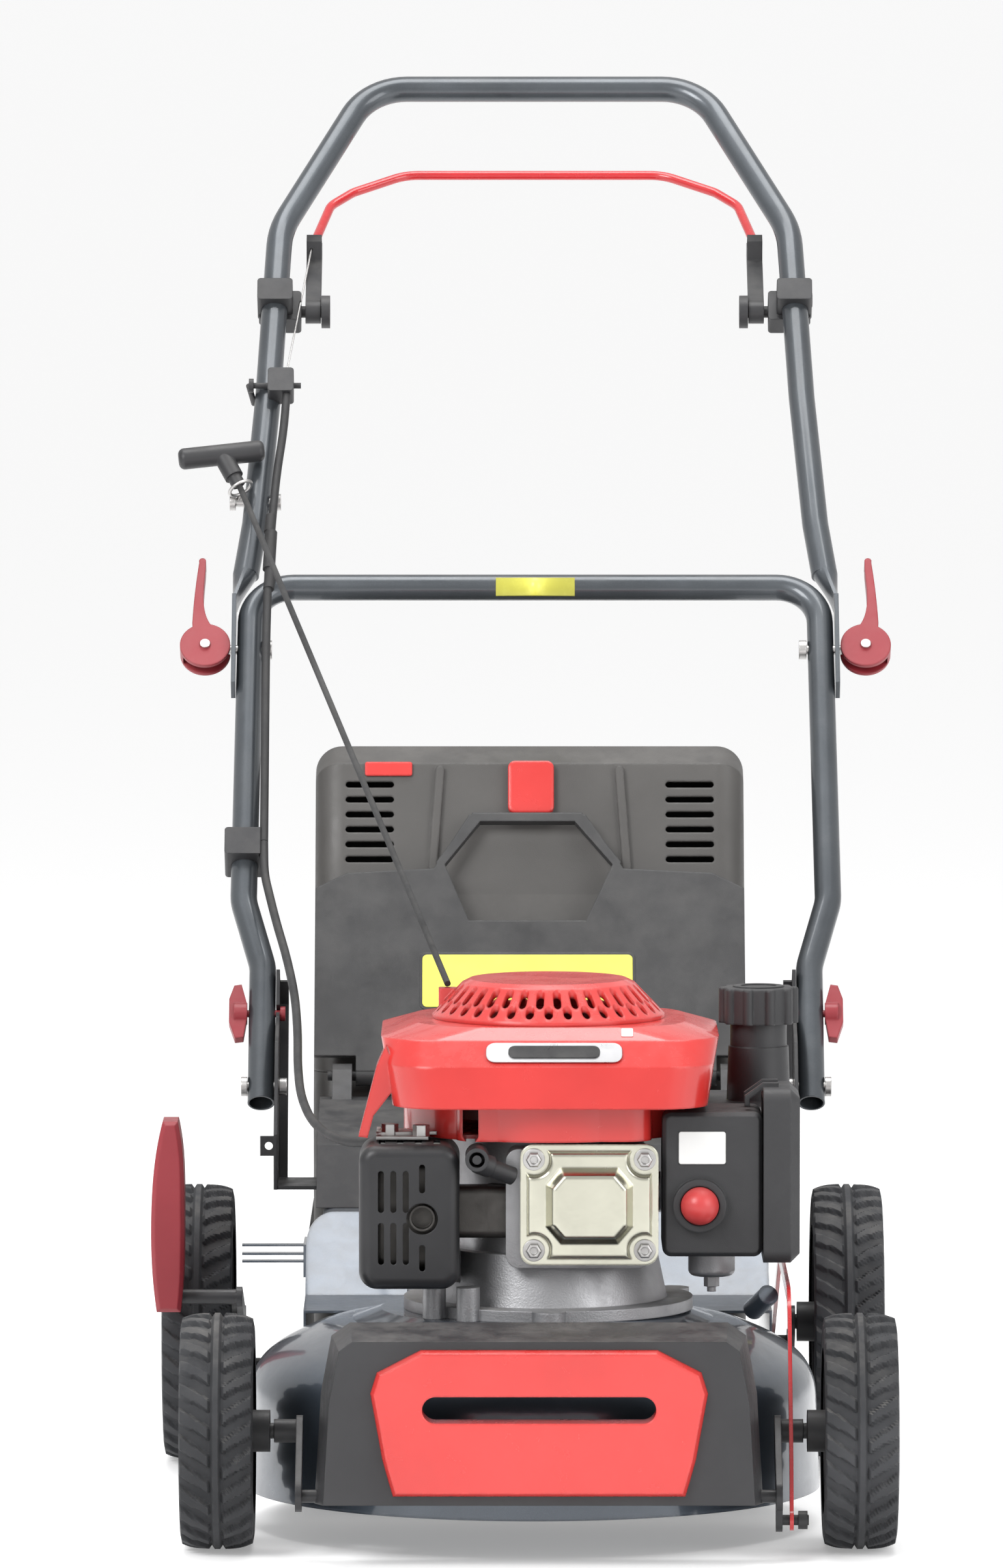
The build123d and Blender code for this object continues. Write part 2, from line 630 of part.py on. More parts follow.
with BuildPart() as valve_cover_bolts:
    with BuildSketch(front_plane(HEAD_Y - 5.05, CYL_X, CYL_Z)):
        with GridLocations(2 * BOLT_X, 2 * BOLT_Z, 2, 2):
            Circle(8.5)
    extrude(amount=1.6)
    with BuildSketch(front_plane(HEAD_Y - 6.6, CYL_X, CYL_Z)):
        with GridLocations(2 * BOLT_X, 2 * BOLT_Z, 2, 2):
            RegularPolygon(6, 6)
    extrude(amount=6)
    chamfer(valve_cover_bolts.faces().filter_by(Axis.Y).group_by(Axis.Y)[0].edges(), 0.8)
    with BuildSketch(front_plane(HEAD_Y - 9, CYL_X, CYL_Z)):
        with GridLocations(2 * BOLT_X, 2 * BOLT_Z, 2, 2):
            Circle(3)
    extrude(amount=20, mode=Mode.SUBTRACT)
    with BuildSketch(front_plane(HEAD_Y - 0.1, CYL_X, CYL_Z)):
        with GridLocations(2 * BOLT_X, 2 * BOLT_Z, 2, 2):
            Circle(3.2)
    extrude(amount=9)
save(valve_cover_bolts.part, "valve_cover_bolts")

GRILLE_BASE_R = 90.0
GRILLE_TOP_R = 63.0
GRILLE_LOW_Z = 388.0
GRILLE_TOP_Z = 422.0
COWL_LOW_Z = 332.0

with BuildPart() as blower_housing:
    with BuildSketch(Plane.XY.offset(HOUSING_LOW_Z)):
        with Locations((CRANK_X, CRANK_Y)):
            Circle(112)
        with Locations((CRANK_X + 4, CRANK_Y - 60)):
            RectangleRounded(150, 90, 20)
    extrude(amount=HOUSING_TOP_Z - HOUSING_LOW_Z)
    with BuildSketch(Plane.XY.offset(HOUSING_LOW_Z + 3)):
        with Locations((CRANK_X, CRANK_Y)):
            Circle(109)
        with Locations((CRANK_X + 4, CRANK_Y - 60)):
            RectangleRounded(144, 84, 17)
    extrude(amount=60, mode=Mode.SUBTRACT)
    with BuildSketch(Plane.XY.offset(HOUSING_LOW_Z - 1)):
        with Locations((CRANK_X, CRANK_Y)):
            Circle(40)
    extrude(amount=10, mode=Mode.SUBTRACT)
    with BuildSketch(front_plane(CRANK_Y - 80, CRANK_X - 60, HOUSING_LOW_Z + 16)):
        SlotOverall(34, 12, rotation=90)
    extrude(amount=40, mode=Mode.SUBTRACT)
save(blower_housing.part, "blower_housing")


def cowl_mass(shrink):
    """The red top cover as a filled body; its low edge is open when cut by a smaller one."""
    with BuildPart() as mass:
        for z, half_x, front, back, corner in (
            (COWL_LOW_Z - shrink, 121, 128, 118, 42),
            (364, 126, 125, 114, 42),
            (383, 130, 106, 106, 46),
            (392, 104, 93, 93, 60),
        ):
            with BuildSketch(Plane.XY.offset(z - (shrink if z > 370 else 0))):
                with Locations((CRANK_X + 1, CRANK_Y + (back - front) / 2)):
                    RectangleRounded(2 * (half_x - shrink), front + back - 2 * shrink, corner)
        loft(ruled=True)
    return mass.part


with BuildPart() as engine_cowl:
    add(cowl_mass(0))
    add(cowl_mass(3), mode=Mode.SUBTRACT)
    with BuildSketch(Plane.XY.offset(380)):
        with Locations((CRANK_X, CRANK_Y)):
            Circle(GRILLE_BASE_R - 4)
    extrude(amount=20, mode=Mode.SUBTRACT)
    with BuildSketch(front_plane(FRONT_AXLE_Y + 112, 0, 0)):
        with BuildLine():
            Polyline((-117, 378), (-124, 362), (-138, 308), (-131, 307), (-126.5, 324), (-108, 348), (-112, 366),
                     close=True)
        make_face()
    extrude(amount=36)
save(engine_cowl.part, "engine_cowl")

with BuildPart() as recoil_grille:
    with BuildSketch(front_plane(CRANK_Y, CRANK_X)):
        with BuildLine():
            Polyline(
                (GRILLE_BASE_R, 392.1),
                (GRILLE_BASE_R, 395),
                (GRILLE_TOP_R + 4, GRILLE_TOP_Z - 3),
                (GRILLE_TOP_R - 2, GRILLE_TOP_Z),
                (0, GRILLE_TOP_Z),
                (0, GRILLE_TOP_Z - 3),
                (GRILLE_TOP_R - 3, GRILLE_TOP_Z - 3),
                (GRILLE_BASE_R - 3, 393.5),
                (GRILLE_BASE_R - 3, 392.1),
                close=True,
            )
        make_face()
    revolve(axis=Axis((CRANK_X, CRANK_Y, 0), (0, 0, 1)))
    with BuildSketch(Plane.XY.offset(391)):
        with Locations((CRANK_X, CRANK_Y)):
            with PolarLocations(GRILLE_BASE_R - 7, 36):
                SlotOverall(9, 6.5)
            with PolarLocations(GRILLE_TOP_R + 11, 36, start_angle=5):
                SlotOverall(13, 6)
    extrude(amount=40, mode=Mode.SUBTRACT)
    with BuildSketch(Plane(origin=(CRANK_X - 78, CRANK_Y + 6, 400), z_dir=(0, 0, 1))):
        RectangleRounded(14, 16, 3)
    extrude(amount=14)
    with BuildSketch(Plane(origin=(CRANK_X - 78, CRANK_Y + 6, 390), z_dir=(0, 0, 1))):
        Circle(2.6)
    extrude(amount=40, mode=Mode.SUBTRACT)
save(recoil_grille.part, "recoil_grille")

with BuildPart() as flywheel:
    with BuildSketch(Plane.XY.offset(FLYWHEEL_Z)):
        with Locations((CRANK_X, CRANK_Y)):
            Circle(88)
            Circle(CRANK_R - 4.5, mode=Mode.SUBTRACT)
    extrude(amount=14)
    with BuildSketch(Plane.XY.offset(FLYWHEEL_Z + 14)):
        with Locations((CRANK_X, CRANK_Y)):
            with PolarLocations(70, 20):
                Rectangle(28, 3.5, rotation=25)
    extrude(amount=26)
save(flywheel.part, "flywheel")

with BuildPart() as crankshaft:
    for low, high, rod_r in ((BLADE_Z + 8.1, 290, CRANK_R), (290, 336, CRANK_R - 4.5), (336, 348, 14)):
        with BuildSketch(Plane.XY.offset(low)):
            with Locations((CRANK_X, CRANK_Y)):
                Circle(rod_r)
        extrude(amount=high - low)
    with BuildSketch(Plane.XY.offset(210)):
        with Locations((CRANK_X, CRANK_Y - 12)):
            SlotOverall(84, 44, rotation=90)
    extrude(amount=14)
    with BuildSketch(Plane.XY.offset(BLADE_Z + 8.1)):
        with Locations((CRANK_X, CRANK_Y)):
            Circle(30)
    extrude(amount=22)
    with BuildSketch(Plane.XY.offset(BLADE_Z - 8)):
        with Locations((CRANK_X, CRANK_Y)):
            RegularPolygon(11, 6)
    extrude(amount=7.9)
    with BuildSketch(Plane.XY.offset(BLADE_Z - 1)):
        with Locations((CRANK_X, CRANK_Y)):
            Circle(5)
    extrude(amount=12)
save(crankshaft.part, "crankshaft")

with BuildPart() as blade:
    with BuildSketch(Plane.XY.offset(BLADE_Z)):
        with Locations((CRANK_X, CRANK_Y)):
            RectangleRounded(2 * BLADE_R - 4, 52, 4)
            Circle(5.05, mode=Mode.SUBTRACT)
    extrude(amount=4)
    for side in (-1, 1):
        with BuildSketch(x_plane(CRANK_X + side * (BLADE_R - 42) - 32, CRANK_Y + side * 22, BLADE_Z + 2)):
            with BuildLine():
                Polyline((side * -4, -2), (side * -4, 2), (side * 14, 16), (side * 16, 13.5), (side * 4, -2), close=True)
            make_face()
        extrude(amount=64)
save(blade.part, "blade")

MUFFLER_X = -99.0
MUFFLER_Z = 248.0
MUFFLER_FACE_Y = FRONT_AXLE_Y + 50.0
EXHAUST_X, EXHAUST_Z = -89.0, 247.3

with BuildPart() as muffler:
    with BuildSketch(front_plane(MUFFLER_FACE_Y + 72, MUFFLER_X, MUFFLER_Z)):
        RectangleRounded(62, 88, 16)
    extrude(amount=58)
    fillet(muffler.faces().sort_by(Axis.Y)[0].edges(), 10)
    with BuildSketch(front_plane(MUFFLER_FACE_Y + 20, EXHAUST_X, EXHAUST_Z)):
        Circle(10)
        Circle(8.3, mode=Mode.SUBTRACT)
    extrude(amount=17)
    with BuildSketch(x_plane(MUFFLER_X + 30, MUFFLER_FACE_Y + 52, MUFFLER_Z)):
        RectangleRounded(26, 40, 6)
    extrude(amount=CYL_X - 38.1 - MUFFLER_X - 30)
save(muffler.part, "muffler")

with BuildPart() as muffler_guard:
    with BuildSketch(front_plane(MUFFLER_FACE_Y + 74, MUFFLER_X, MUFFLER_Z)):
        RectangleRounded(77, 111, 14)
    extrude(amount=74)
    fillet(muffler_guard.faces().sort_by(Axis.Y)[0].edges(), 9)
    offset(amount=-2, openings=muffler_guard.faces().sort_by(Axis.Y)[-1])
    with BuildSketch(front_plane(MUFFLER_FACE_Y + 30, MUFFLER_X - 12, MUFFLER_Z)):
        with GridLocations(9.5, 40, 3, 2):
            SlotOverall(32, 4.5, rotation=90)
        with Locations((22, 30)):
            SlotOverall(22, 4.5, rotation=90)
        with Locations((22, -31)):
            SlotOverall(20, 4.5, rotation=90)
        with Locations((EXHAUST_X - MUFFLER_X + 12, EXHAUST_Z - MUFFLER_Z)):
            Circle(12)
    extrude(amount=60, mode=Mode.SUBTRACT)
    with BuildSketch(x_plane(MUFFLER_X - 45, MUFFLER_FACE_Y + 36, MUFFLER_Z)):
        with GridLocations(40, 30, 1, 3):
            SlotOverall(22, 5, rotation=90)
    extrude(amount=20, mode=Mode.SUBTRACT)
    with BuildSketch(Plane.XY.offset(MUFFLER_Z + 40)):
        with Locations((MUFFLER_X, MUFFLER_FACE_Y + 30)):
            with GridLocations(14, 10, 4, 1):
                SlotOverall(30, 5, rotation=90)
    extrude(amount=30, mode=Mode.SUBTRACT)
    with BuildSketch(x_plane(MUFFLER_X + 30, MUFFLER_FACE_Y + 53, MUFFLER_Z)):
        Rectangle(42, 46)
    extrude(amount=20, mode=Mode.SUBTRACT)
save(muffler_guard.part, "muffler_guard")

PLUG_X, PLUG_Z = -5.0, 284.0
with BuildPart() as spark_plug_cap:
    with BuildSketch(Plane(origin=(PLUG_X - 15, HEAD_Y - 3, PLUG_Z - 5), z_dir=(-0.8, -0.45, 0.35))):
        Circle(7)
    extrude(amount=30)
    with BuildSketch(Plane(origin=(PLUG_X - 32, HEAD_Y - 12, PLUG_Z + 3), z_dir=(-0.8, -0.45, 0.35))):
        Circle(8.6)
    extrude(amount=12)
    with BuildSketch(Plane(origin=(PLUG_X - 42, HEAD_Y + 12, PLUG_Z + 10), z_dir=(0, -1, 0))):
        Circle(9)
    extrude(amount=42)
    with BuildSketch(Plane(origin=(PLUG_X - 42, HEAD_Y - 8, PLUG_Z + 10), z_dir=(0, -1, 0))):
        Circle(6)
        Circle(3.5, mode=Mode.SUBTRACT)
    extrude(amount=25, mode=Mode.SUBTRACT)
save(spark_plug_cap.part, "spark_plug_cap")

FILTER_X = 133.5
FILTER_Z = 271.5
FILTER_FACE_Y = FRONT_AXLE_Y + 70.0
PRIMER_X, PRIMER_Z = 123.7, 255.7

with BuildPart() as air_filter_box:
    with BuildSketch(front_plane(FILTER_FACE_Y + 74, FILTER_X, FILTER_Z)):
        RectangleRounded(77, 111, 7)
    extrude(amount=74)
    chamfer(air_filter_box.faces().sort_by(Axis.Y)[0].edges(), 3)
    with BuildSketch(x_plane(FILTER_X - 34, FILTER_FACE_Y + 38, FILTER_Z)):
        RectangleRounded(66, 103, 5)
    extrude(amount=80, mode=Mode.SUBTRACT)
    with BuildSketch(front_plane(FILTER_FACE_Y + 1, PRIMER_X, PRIMER_Z)):
        Circle(20.5)
    extrude(amount=7)
    with BuildSketch(front_plane(FILTER_FACE_Y + 10, PRIMER_X, PRIMER_Z)):
        Circle(15.2)
    extrude(amount=30, mode=Mode.SUBTRACT)
    with BuildSketch(front_plane(FILTER_FACE_Y + 0.02, 125.6, 300)):
        Rectangle(36, 25)
    extrude(amount=0.5)
    with BuildSketch(Plane.XY.offset(HOUSING_LOW_Z - 0.5)):
        with Locations((CRANK_X, CRANK_Y)):
            Circle(112.3)
    extrude(amount=50, mode=Mode.SUBTRACT)
save(air_filter_box.part, "air_filter_box")

with BuildPart() as primer_bulb:
    with BuildSketch(Plane(origin=(PRIMER_X, FILTER_FACE_Y - 6, PRIMER_Z), x_dir=(1, 0, 0), z_dir=(0, 0, 1))):
        with BuildLine():
            Polyline((0, -14.6), (0, 9), (14.6, 9), (14.6, 0))
            CenterArc((0, 0), 14.6, -90, 90)
        make_face()
    revolve(axis=Axis((PRIMER_X, FILTER_FACE_Y, PRIMER_Z), (0, 1, 0)))
save(primer_bulb.part, "primer_bulb")

COVER_IN_X = FILTER_X + 39.0
with BuildPart() as air_filter_cover:
    with BuildSketch(x_plane(COVER_IN_X, FILTER_FACE_Y + 37, 278)):
        RectangleRounded(84, 134, 10)
    extrude(amount=28)
    chamfer(air_filter_cover.faces().sort_by(Axis.X)[-1].edges(), 7)
    with BuildSketch(x_plane(COVER_IN_X - 1, FILTER_FACE_Y + 37, 276)):
        RectangleRounded(76, 118, 7)
    extrude(amount=24, mode=Mode.SUBTRACT)
    for clip_y in (-14, 14):
        with BuildSketch(front_plane(FILTER_FACE_Y + 42 + clip_y, COVER_IN_X - 2, 340)):
            with BuildLine():
                Polyline((-12, -10), (-12, -2), (2, 8), (14, 8), (14, 4), (4, 4), (-8, -4), (-8, -10), close=True)
            make_face()
        extrude(amount=9)
save(air_filter_cover.part, "air_filter_cover")

with BuildPart() as carburettor:
    with BuildSketch(x_plane(CRANK_X + 76, CRANK_Y - 52, 262)):
        Circle(15)
    extrude(amount=FILTER_X - 39.2 - CRANK_X - 76)
    with BuildSketch(Plane.XY.offset(214.6)):
        with Locations((133.7, FRONT_AXLE_Y + 120)):
            Circle(18)
    extrude(amount=-18.5)
    fillet(carburettor.faces().sort_by(Axis.Z)[0].edges(), 5)
    with BuildSketch(Plane.XY.offset(197)):
        with Locations((133.7, FRONT_AXLE_Y + 118)):
            RegularPolygon(6, 6)
    extrude(amount=-9)
    with BuildSketch(Plane.XY.offset(189)):
        with Locations((133.7, FRONT_AXLE_Y + 118)):
            Circle(3.5)
    extrude(amount=-5)
save(carburettor.part, "carburettor")

TANK_NECK = (172.0, FRONT_AXLE_Y + 230.0)
CAP_Z = 382.0
with BuildPart() as fuel_tank:
    with BuildSketch(Plane.XY.offset(236)):
        with Locations((160, FRONT_AXLE_Y + 236)):
            RectangleRounded(80, 150, 18)
    extrude(amount=86)
    with BuildSketch(Plane.XY.offset(235)):
        with Locations((CRANK_X, CRANK_Y)):
            Circle(114)
    extrude(amount=100, mode=Mode.SUBTRACT)
    fillet(fuel_tank.faces().sort_by(Axis.Z)[-1].edges(), 8)
    with BuildSketch(Plane.XY.offset(318)):
        with Locations(TANK_NECK):
            Circle(25)
    extrude(amount=46, taper=2)
    with BuildSketch(Plane.XY.offset(355)):
        with Locations(TANK_NECK):
            Circle(22)
    extrude(amount=44)
    with BuildSketch(Plane.XY.offset(250)):
        with Locations(TANK_NECK):
            Circle(19.5)
    extrude(amount=160, mode=Mode.SUBTRACT)
save(fuel_tank.part, "fuel_tank")

with BuildPart() as fuel_cap:
    with BuildSketch(Plane.XY.offset(CAP_Z)):
        with Locations(TANK_NECK):
            Circle(27.5)
            with PolarLocations(27, 10):
                Circle(4)
    extrude(amount=28)
    fillet(fuel_cap.faces().sort_by(Axis.Z)[-1].edges(), 2)
    with BuildSketch(Plane.XY.offset(CAP_Z - 1)):
        with Locations(TANK_NECK):
            Circle(22.4)
    extrude(amount=25, mode=Mode.SUBTRACT)
    with BuildSketch(Plane.XY.offset(CAP_Z + 28)):
        with Locations(TANK_NECK):
            Circle(20)
            Circle(14, mode=Mode.SUBTRACT)
    extrude(amount=1)
save(fuel_cap.part, "fuel_cap")

BRAKE_END = (-124.5, FRONT_AXLE_Y + 136.0, 298.0)
with BuildPart() as brake_bracket:
    with BuildSketch(Plane.XY.offset(HOUSING_LOW_Z + 0.05)):
        with Locations((-104.5, CRANK_Y - 56)):
            Rectangle(40, 66)
    extrude(amount=2.5)
    with BuildSketch(Plane.XY.offset(HOUSING_LOW_Z + 2.5)):
        with Locations((-96, CRANK_Y - 70)):
            SlotOverall(58, 11, rotation=10)
    extrude(amount=2.5)
    with BuildSketch(Plane.XY.offset(HOUSING_LOW_Z)):
        with Locations((CRANK_X, CRANK_Y)):
            Circle(112.4)
        with Locations((CRANK_X + 4, CRANK_Y - 60)):
            RectangleRounded(151, 91, 20)
    extrude(amount=20, mode=Mode.SUBTRACT)
    for post_x, post_y in ((-114, CRANK_Y - 74), (-90, CRANK_Y - 82)):
        with BuildSketch(Plane.XY.offset(HOUSING_LOW_Z + 2)):
            with Locations((post_x, post_y)):
                RegularPolygon(6.5, 6)
        extrude(amount=9)
    with BuildSketch(x_plane(BRAKE_END[0], BRAKE_END[1], BRAKE_END[2] + 1)):
        Rectangle(14, 20)
    extrude(amount=3)
save(brake_bracket.part, "brake_bracket")


# ---------------------------------------------------------------- handle
LOWER_PATH = [
    (-PIVOT_X, -16),
    (-PIVOT_X, 116),
    (-LOWER_TUBE_X - 3, 180),
    (-LOWER_TUBE_X, CROSSBAR_UP),
    (LOWER_TUBE_X, CROSSBAR_UP),
    (LOWER_TUBE_X + 3, 180),
    (PIVOT_X, 116),
    (PIVOT_X, -16),
]
UPPER_PATH = [
    (-UPPER_TUBE_X - 6, 508),
    (-UPPER_TUBE_X + 1, 560),
    (-226, 690),
    (-217.5, 868),
    (-142, TOP_BAR_UP),
    (142, TOP_BAR_UP),
    (217.5, 868),
    (226, 690),
    (UPPER_TUBE_X - 1, 560),
    (UPPER_TUBE_X + 6, 508),
]
STRAP_IN_X = LOWER_TUBE_X + TUBE_R + CLEAR + 1
STRAP_T = 3.6
GUIDE_UP = 583.0
STUD_R = 4.0
KNOB_STUD_R = 3.0


def bent_tube(points, bends):
    """Hollow tube in the handle's middle plane."""
    plane = handle_plane()
    return tube_part([plane.from_local_coords(Vector(px, up, 0)) for px, up in points], bends, TUBE_R, TUBE_WALL)


def cross_holes(up, radius):
    """Cutter for a hole along X through both sides of the handle."""
    at = along_handle(up)
    return x_rod(-300, 300, at.Y, at.Z, radius)


with BuildPart() as lower_handle:
    add(bent_tube(LOWER_PATH, (45, 45, 36, 36, 45, 45)))
    add(cross_holes(0, STUD_R + RUN_GAP), mode=Mode.SUBTRACT)
    add(cross_holes(KNOB_UP, KNOB_STUD_R + CLEAR), mode=Mode.SUBTRACT)
    add(cross_holes(CLAMP_UP, STUD_R + RUN_GAP), mode=Mode.SUBTRACT)
save(lower_handle.part, "lower_handle")

with BuildPart() as upper_handle:
    add(bent_tube(UPPER_PATH, (60, 200, 80, 52, 52, 80, 200, 60)))
    for side in (-1, 1):
        strap_x = side * (STRAP_IN_X + STRAP_T / 2)
        with BuildSketch(handle_plane(509, x=side * (UPPER_TUBE_X + 6)).rotated((90, 0, 0))):
            Circle(TUBE_R)
        with BuildSketch(handle_plane(478, x=strap_x).rotated((90, 0, 0))):
            Rectangle(STRAP_T - 0.4, 26)
        loft(ruled=True)
        with BuildSketch(Plane(origin=along_handle(0, x=strap_x - STRAP_T / 2),
                               x_dir=handle_plane().y_dir, z_dir=(1, 0, 0))):
            with BuildLine():
                Polyline((480, -14), (398, -14), (386, -4), (390, 14), (480, 14), close=True)
            make_face()
        extrude(amount=STRAP_T)
    add(cross_holes(CLAMP_UP, STUD_R + RUN_GAP), mode=Mode.SUBTRACT)
    add(x_rod(-300, 0, along_handle(GUIDE_UP).Y, along_handle(GUIDE_UP).Z, STUD_R + RUN_GAP), mode=Mode.SUBTRACT)
save(upper_handle.part, "upper_handle")

CAM_PIN_X = 275.6
CAM_R = 21.0

with BuildPart() as handle_bolts:
    for side in (-1, 1):
        pivot = along_handle(0)
        low, high = sorted((side * 203, side * (PIVOT_X + TUBE_R + 3)))
        add(x_rod(low, high, pivot.Y, pivot.Z, STUD_R))
        head_x = side * (PIVOT_X + TUBE_R + 0.3)
        low, high = sorted((head_x, head_x + side * 5))
        add(x_rod(low, high, pivot.Y, pivot.Z, 8))
        low, high = sorted((side * 203, side * (BRACKET_OUT_X - BRACKET_T - 0.4)))
        add(x_rod(low, high, pivot.Y, pivot.Z, 7))
        clamp = along_handle(CLAMP_UP)
        low, high = sorted((side * 222, side * (CAM_PIN_X - 4)))
        add(x_rod(low, high, clamp.Y, clamp.Z, STUD_R))
        low, high = sorted((side * 220, side * (LOWER_TUBE_X - TUBE_R - 0.3)))
        add(x_rod(low, high, clamp.Y, clamp.Z, 8))
save(handle_bolts.part, "handle_bolts")


def cam_lever(side):
    """Quick-release lever: two cheeks round the stud's end, and a long curved thumb."""
    plane = handle_plane(CLAMP_UP, x=side * CAM_PIN_X)
    with BuildPart() as lever:
        with BuildSketch(plane):
            Circle(CAM_R)
            with BuildLine():
                Polyline((side * 10, 4), (side * 11, 22))
                Spline((side * 11, 22), (side * 9, 55), (side * 6, 84))
                ThreePointArc((side * 6, 84), (side * 3, 88), (side * 0.5, 84))
                Spline((side * 0.5, 84), (side * 1.5, 40), (side * -6, 18), (side * -16, 10))
                Polyline((side * -16, 10), (side * -10, -4), (side * 10, 4))
            make_face()
        extrude(amount=8, both=True)
        with BuildSketch(plane):
            with Locations((side * -12, -6)):
                Rectangle(60, 34)
        extrude(amount=STUD_R + CLEAR, both=True, mode=Mode.SUBTRACT)
        fillet(lever.faces().filter_by(GeomType.PLANE).group_by(Axis.Y)[-1].edges(), 1)
        with BuildSketch(plane):
            Circle(4.5)
        extrude(amount=9, both=True)
        with BuildSketch(plane):
            with Locations((side * -12, -6)):
                Rectangle(60, 34)
        extrude(amount=STUD_R + CLEAR, both=True, mode=Mode.SUBTRACT)
    return lever.part


save(cam_lever(-1), "quick_release_left")
save(cam_lever(1), "quick_release_right")


def wing_knob(side):
    """Knob with two wings and its stud through the tube and the bracket's slot."""
    at = along_handle(KNOB_UP)
    with BuildPart() as knob:
        low, high = sorted((side * 205, side * (PIVOT_X + TUBE_R + 6)))
        add(x_rod(low, high, at.Y, at.Z, KNOB_STUD_R))
        low, high = sorted((side * 205, side * (BRACKET_OUT_X - BRACKET_T - CLEAR)))
        add(x_rod(low, high, at.Y, at.Z, 6))
        low, high = sorted((side * (PIVOT_X + TUBE_R + 1.2), side * (PIVOT_X + TUBE_R + 12)))
        add(x_rod(low, high, at.Y, at.Z, 9))
        with BuildSketch(handle_plane(KNOB_UP, x=side * (PIVOT_X + TUBE_R))):
            with BuildLine():
                Polyline((side * 1.6, -8), (side * 4, -25), (side * 11, -26), (side * 16, -10), (side * 16, 12),
                         (side * 12, 25), (side * 6, 26), (side * 1.6, 8), close=True)
            make_face()
        extrude(amount=4, both=True)
    return knob.part


save(wing_knob(-1), "wing_knob_left")
save(wing_knob(1), "wing_knob_right")

CABLE_R = 3.5
WIRE_R = 0.8
WIRE_X = -210.0
CABLE_FRONT = 17.0
STOP_UP = 694.0
CLIP_UP = 228.0
CLIP_X = -224.0
UPPER_BENDS = (60, 200, 80, 52, 52, 80, 200, 60)
LOWER_BENDS = (45, 45, 36, 36, 45, 45)


def solid_bar(points, bends):
    """Cutter the size of a handle tube, for parts that clamp round it."""
    plane = handle_plane()
    return tube_part([plane.from_local_coords(Vector(px, up, 0)) for px, up in points], bends, TUBE_R + 0.02)


def on_handle(x, up, front):
    return along_handle(up, front, x)


UPPER_BAR = solid_bar(UPPER_PATH, UPPER_BENDS)
LOWER_BAR = solid_bar(LOWER_PATH, LOWER_BENDS)


def handle_box(x, up, front, x_size, up_size, front_size):
    """Rounded block lined up with the handle."""
    with BuildPart() as block:
        with BuildSketch(handle_plane(up, front - front_size / 2, x)):
            RectangleRounded(x_size, up_size, 3)
        extrude(amount=front_size)
    return block.part


def handle_rod(start, end, radius):
    """Straight rod between two points."""
    with BuildPart() as rod:
        with BuildSketch(Plane(origin=start, z_dir=end - start)):
            Circle(radius)
        extrude(amount=(end - start).length)
    return rod.part


with BuildPart() as cable_stop:
    add(handle_box(-215, STOP_UP, 14, 22, 24, 20))
    add(handle_rod(on_handle(WIRE_X, STOP_UP - 20, CABLE_FRONT + 1), on_handle(WIRE_X, STOP_UP + 20, CABLE_FRONT + 1), 1.2),
        mode=Mode.SUBTRACT)
    add(handle_rod(on_handle(-242, STOP_UP, 14), on_handle(-198, STOP_UP, 14), 2.5))
    add(handle_rod(on_handle(-242, STOP_UP, 14), on_handle(-238, STOP_UP, 14), 6))
    add(handle_rod(on_handle(-242, STOP_UP, 14), on_handle(-238, STOP_UP, -12), 2.5))
    add(UPPER_BAR, mode=Mode.SUBTRACT)
save(cable_stop.part, "cable_stop")

with BuildPart() as cable_clip:
    add(handle_box(-LOWER_TUBE_X - 2, CLIP_UP, 2, 34, 26, 36))
    add(handle_rod(on_handle(CLIP_X, CLIP_UP - 20, CABLE_FRONT), on_handle(CLIP_X, CLIP_UP + 20, CABLE_FRONT),
                   CABLE_R + 0.5), mode=Mode.SUBTRACT)
    add(LOWER_BAR, mode=Mode.SUBTRACT)
save(cable_clip.part, "cable_clip")

RING_AT = Vector(-247.7, FRONT_AXLE_Y + 986, 763.9)
GRIP_AT = Vector(-263.8, FRONT_AXLE_Y + 1003, 791.6)
GRIP_AXIS = (GRIP_AT - RING_AT).normalized()
GUIDE_BOLT = along_handle(GUIDE_UP)

with BuildPart() as rope_guide:
    with BuildSketch(Plane(origin=RING_AT + Vector(1, 0, 0).cross(GRIP_AXIS).normalized() * 10, z_dir=(1, 0, 0))):
        Circle(1.6)
    revolve(axis=Axis(RING_AT, GRIP_AXIS))
    ring_low = RING_AT - Vector(1, 0, 0).cross(GRIP_AXIS).normalized() * 10
    add(handle_rod(ring_low, Vector(-251, GUIDE_BOLT.Y, GUIDE_BOLT.Z), 1.6))
    add(x_rod(-256, -216, GUIDE_BOLT.Y, GUIDE_BOLT.Z, STUD_R))
    add(x_rod(-219, -214, GUIDE_BOLT.Y, GUIDE_BOLT.Z, 7))
    add(x_rod(-257, -252, GUIDE_BOLT.Y, GUIDE_BOLT.Z, 7))
save(rope_guide.part, "rope_guide")

with BuildPart() as starter_grip:
    add(handle_rod(RING_AT + GRIP_AXIS * 3.6, GRIP_AT, 6))
    add(handle_rod(RING_AT + GRIP_AXIS * 12, GRIP_AT, 8))
    add(handle_rod(Vector(-300, GRIP_AT.Y - 3, 787.5), Vector(-228, GRIP_AT.Y + 3, 795), 9))
    fillet(starter_grip.faces().filter_by(GeomType.PLANE).group_by(Axis.X)[0].edges(), 5)
    fillet(starter_grip.faces().filter_by(GeomType.PLANE).group_by(Axis.X)[-1].edges(), 5)
    add(handle_rod(RING_AT, GRIP_AT - GRIP_AXIS * 8, 2.56), mode=Mode.SUBTRACT)
save(starter_grip.part, "starter_grip")

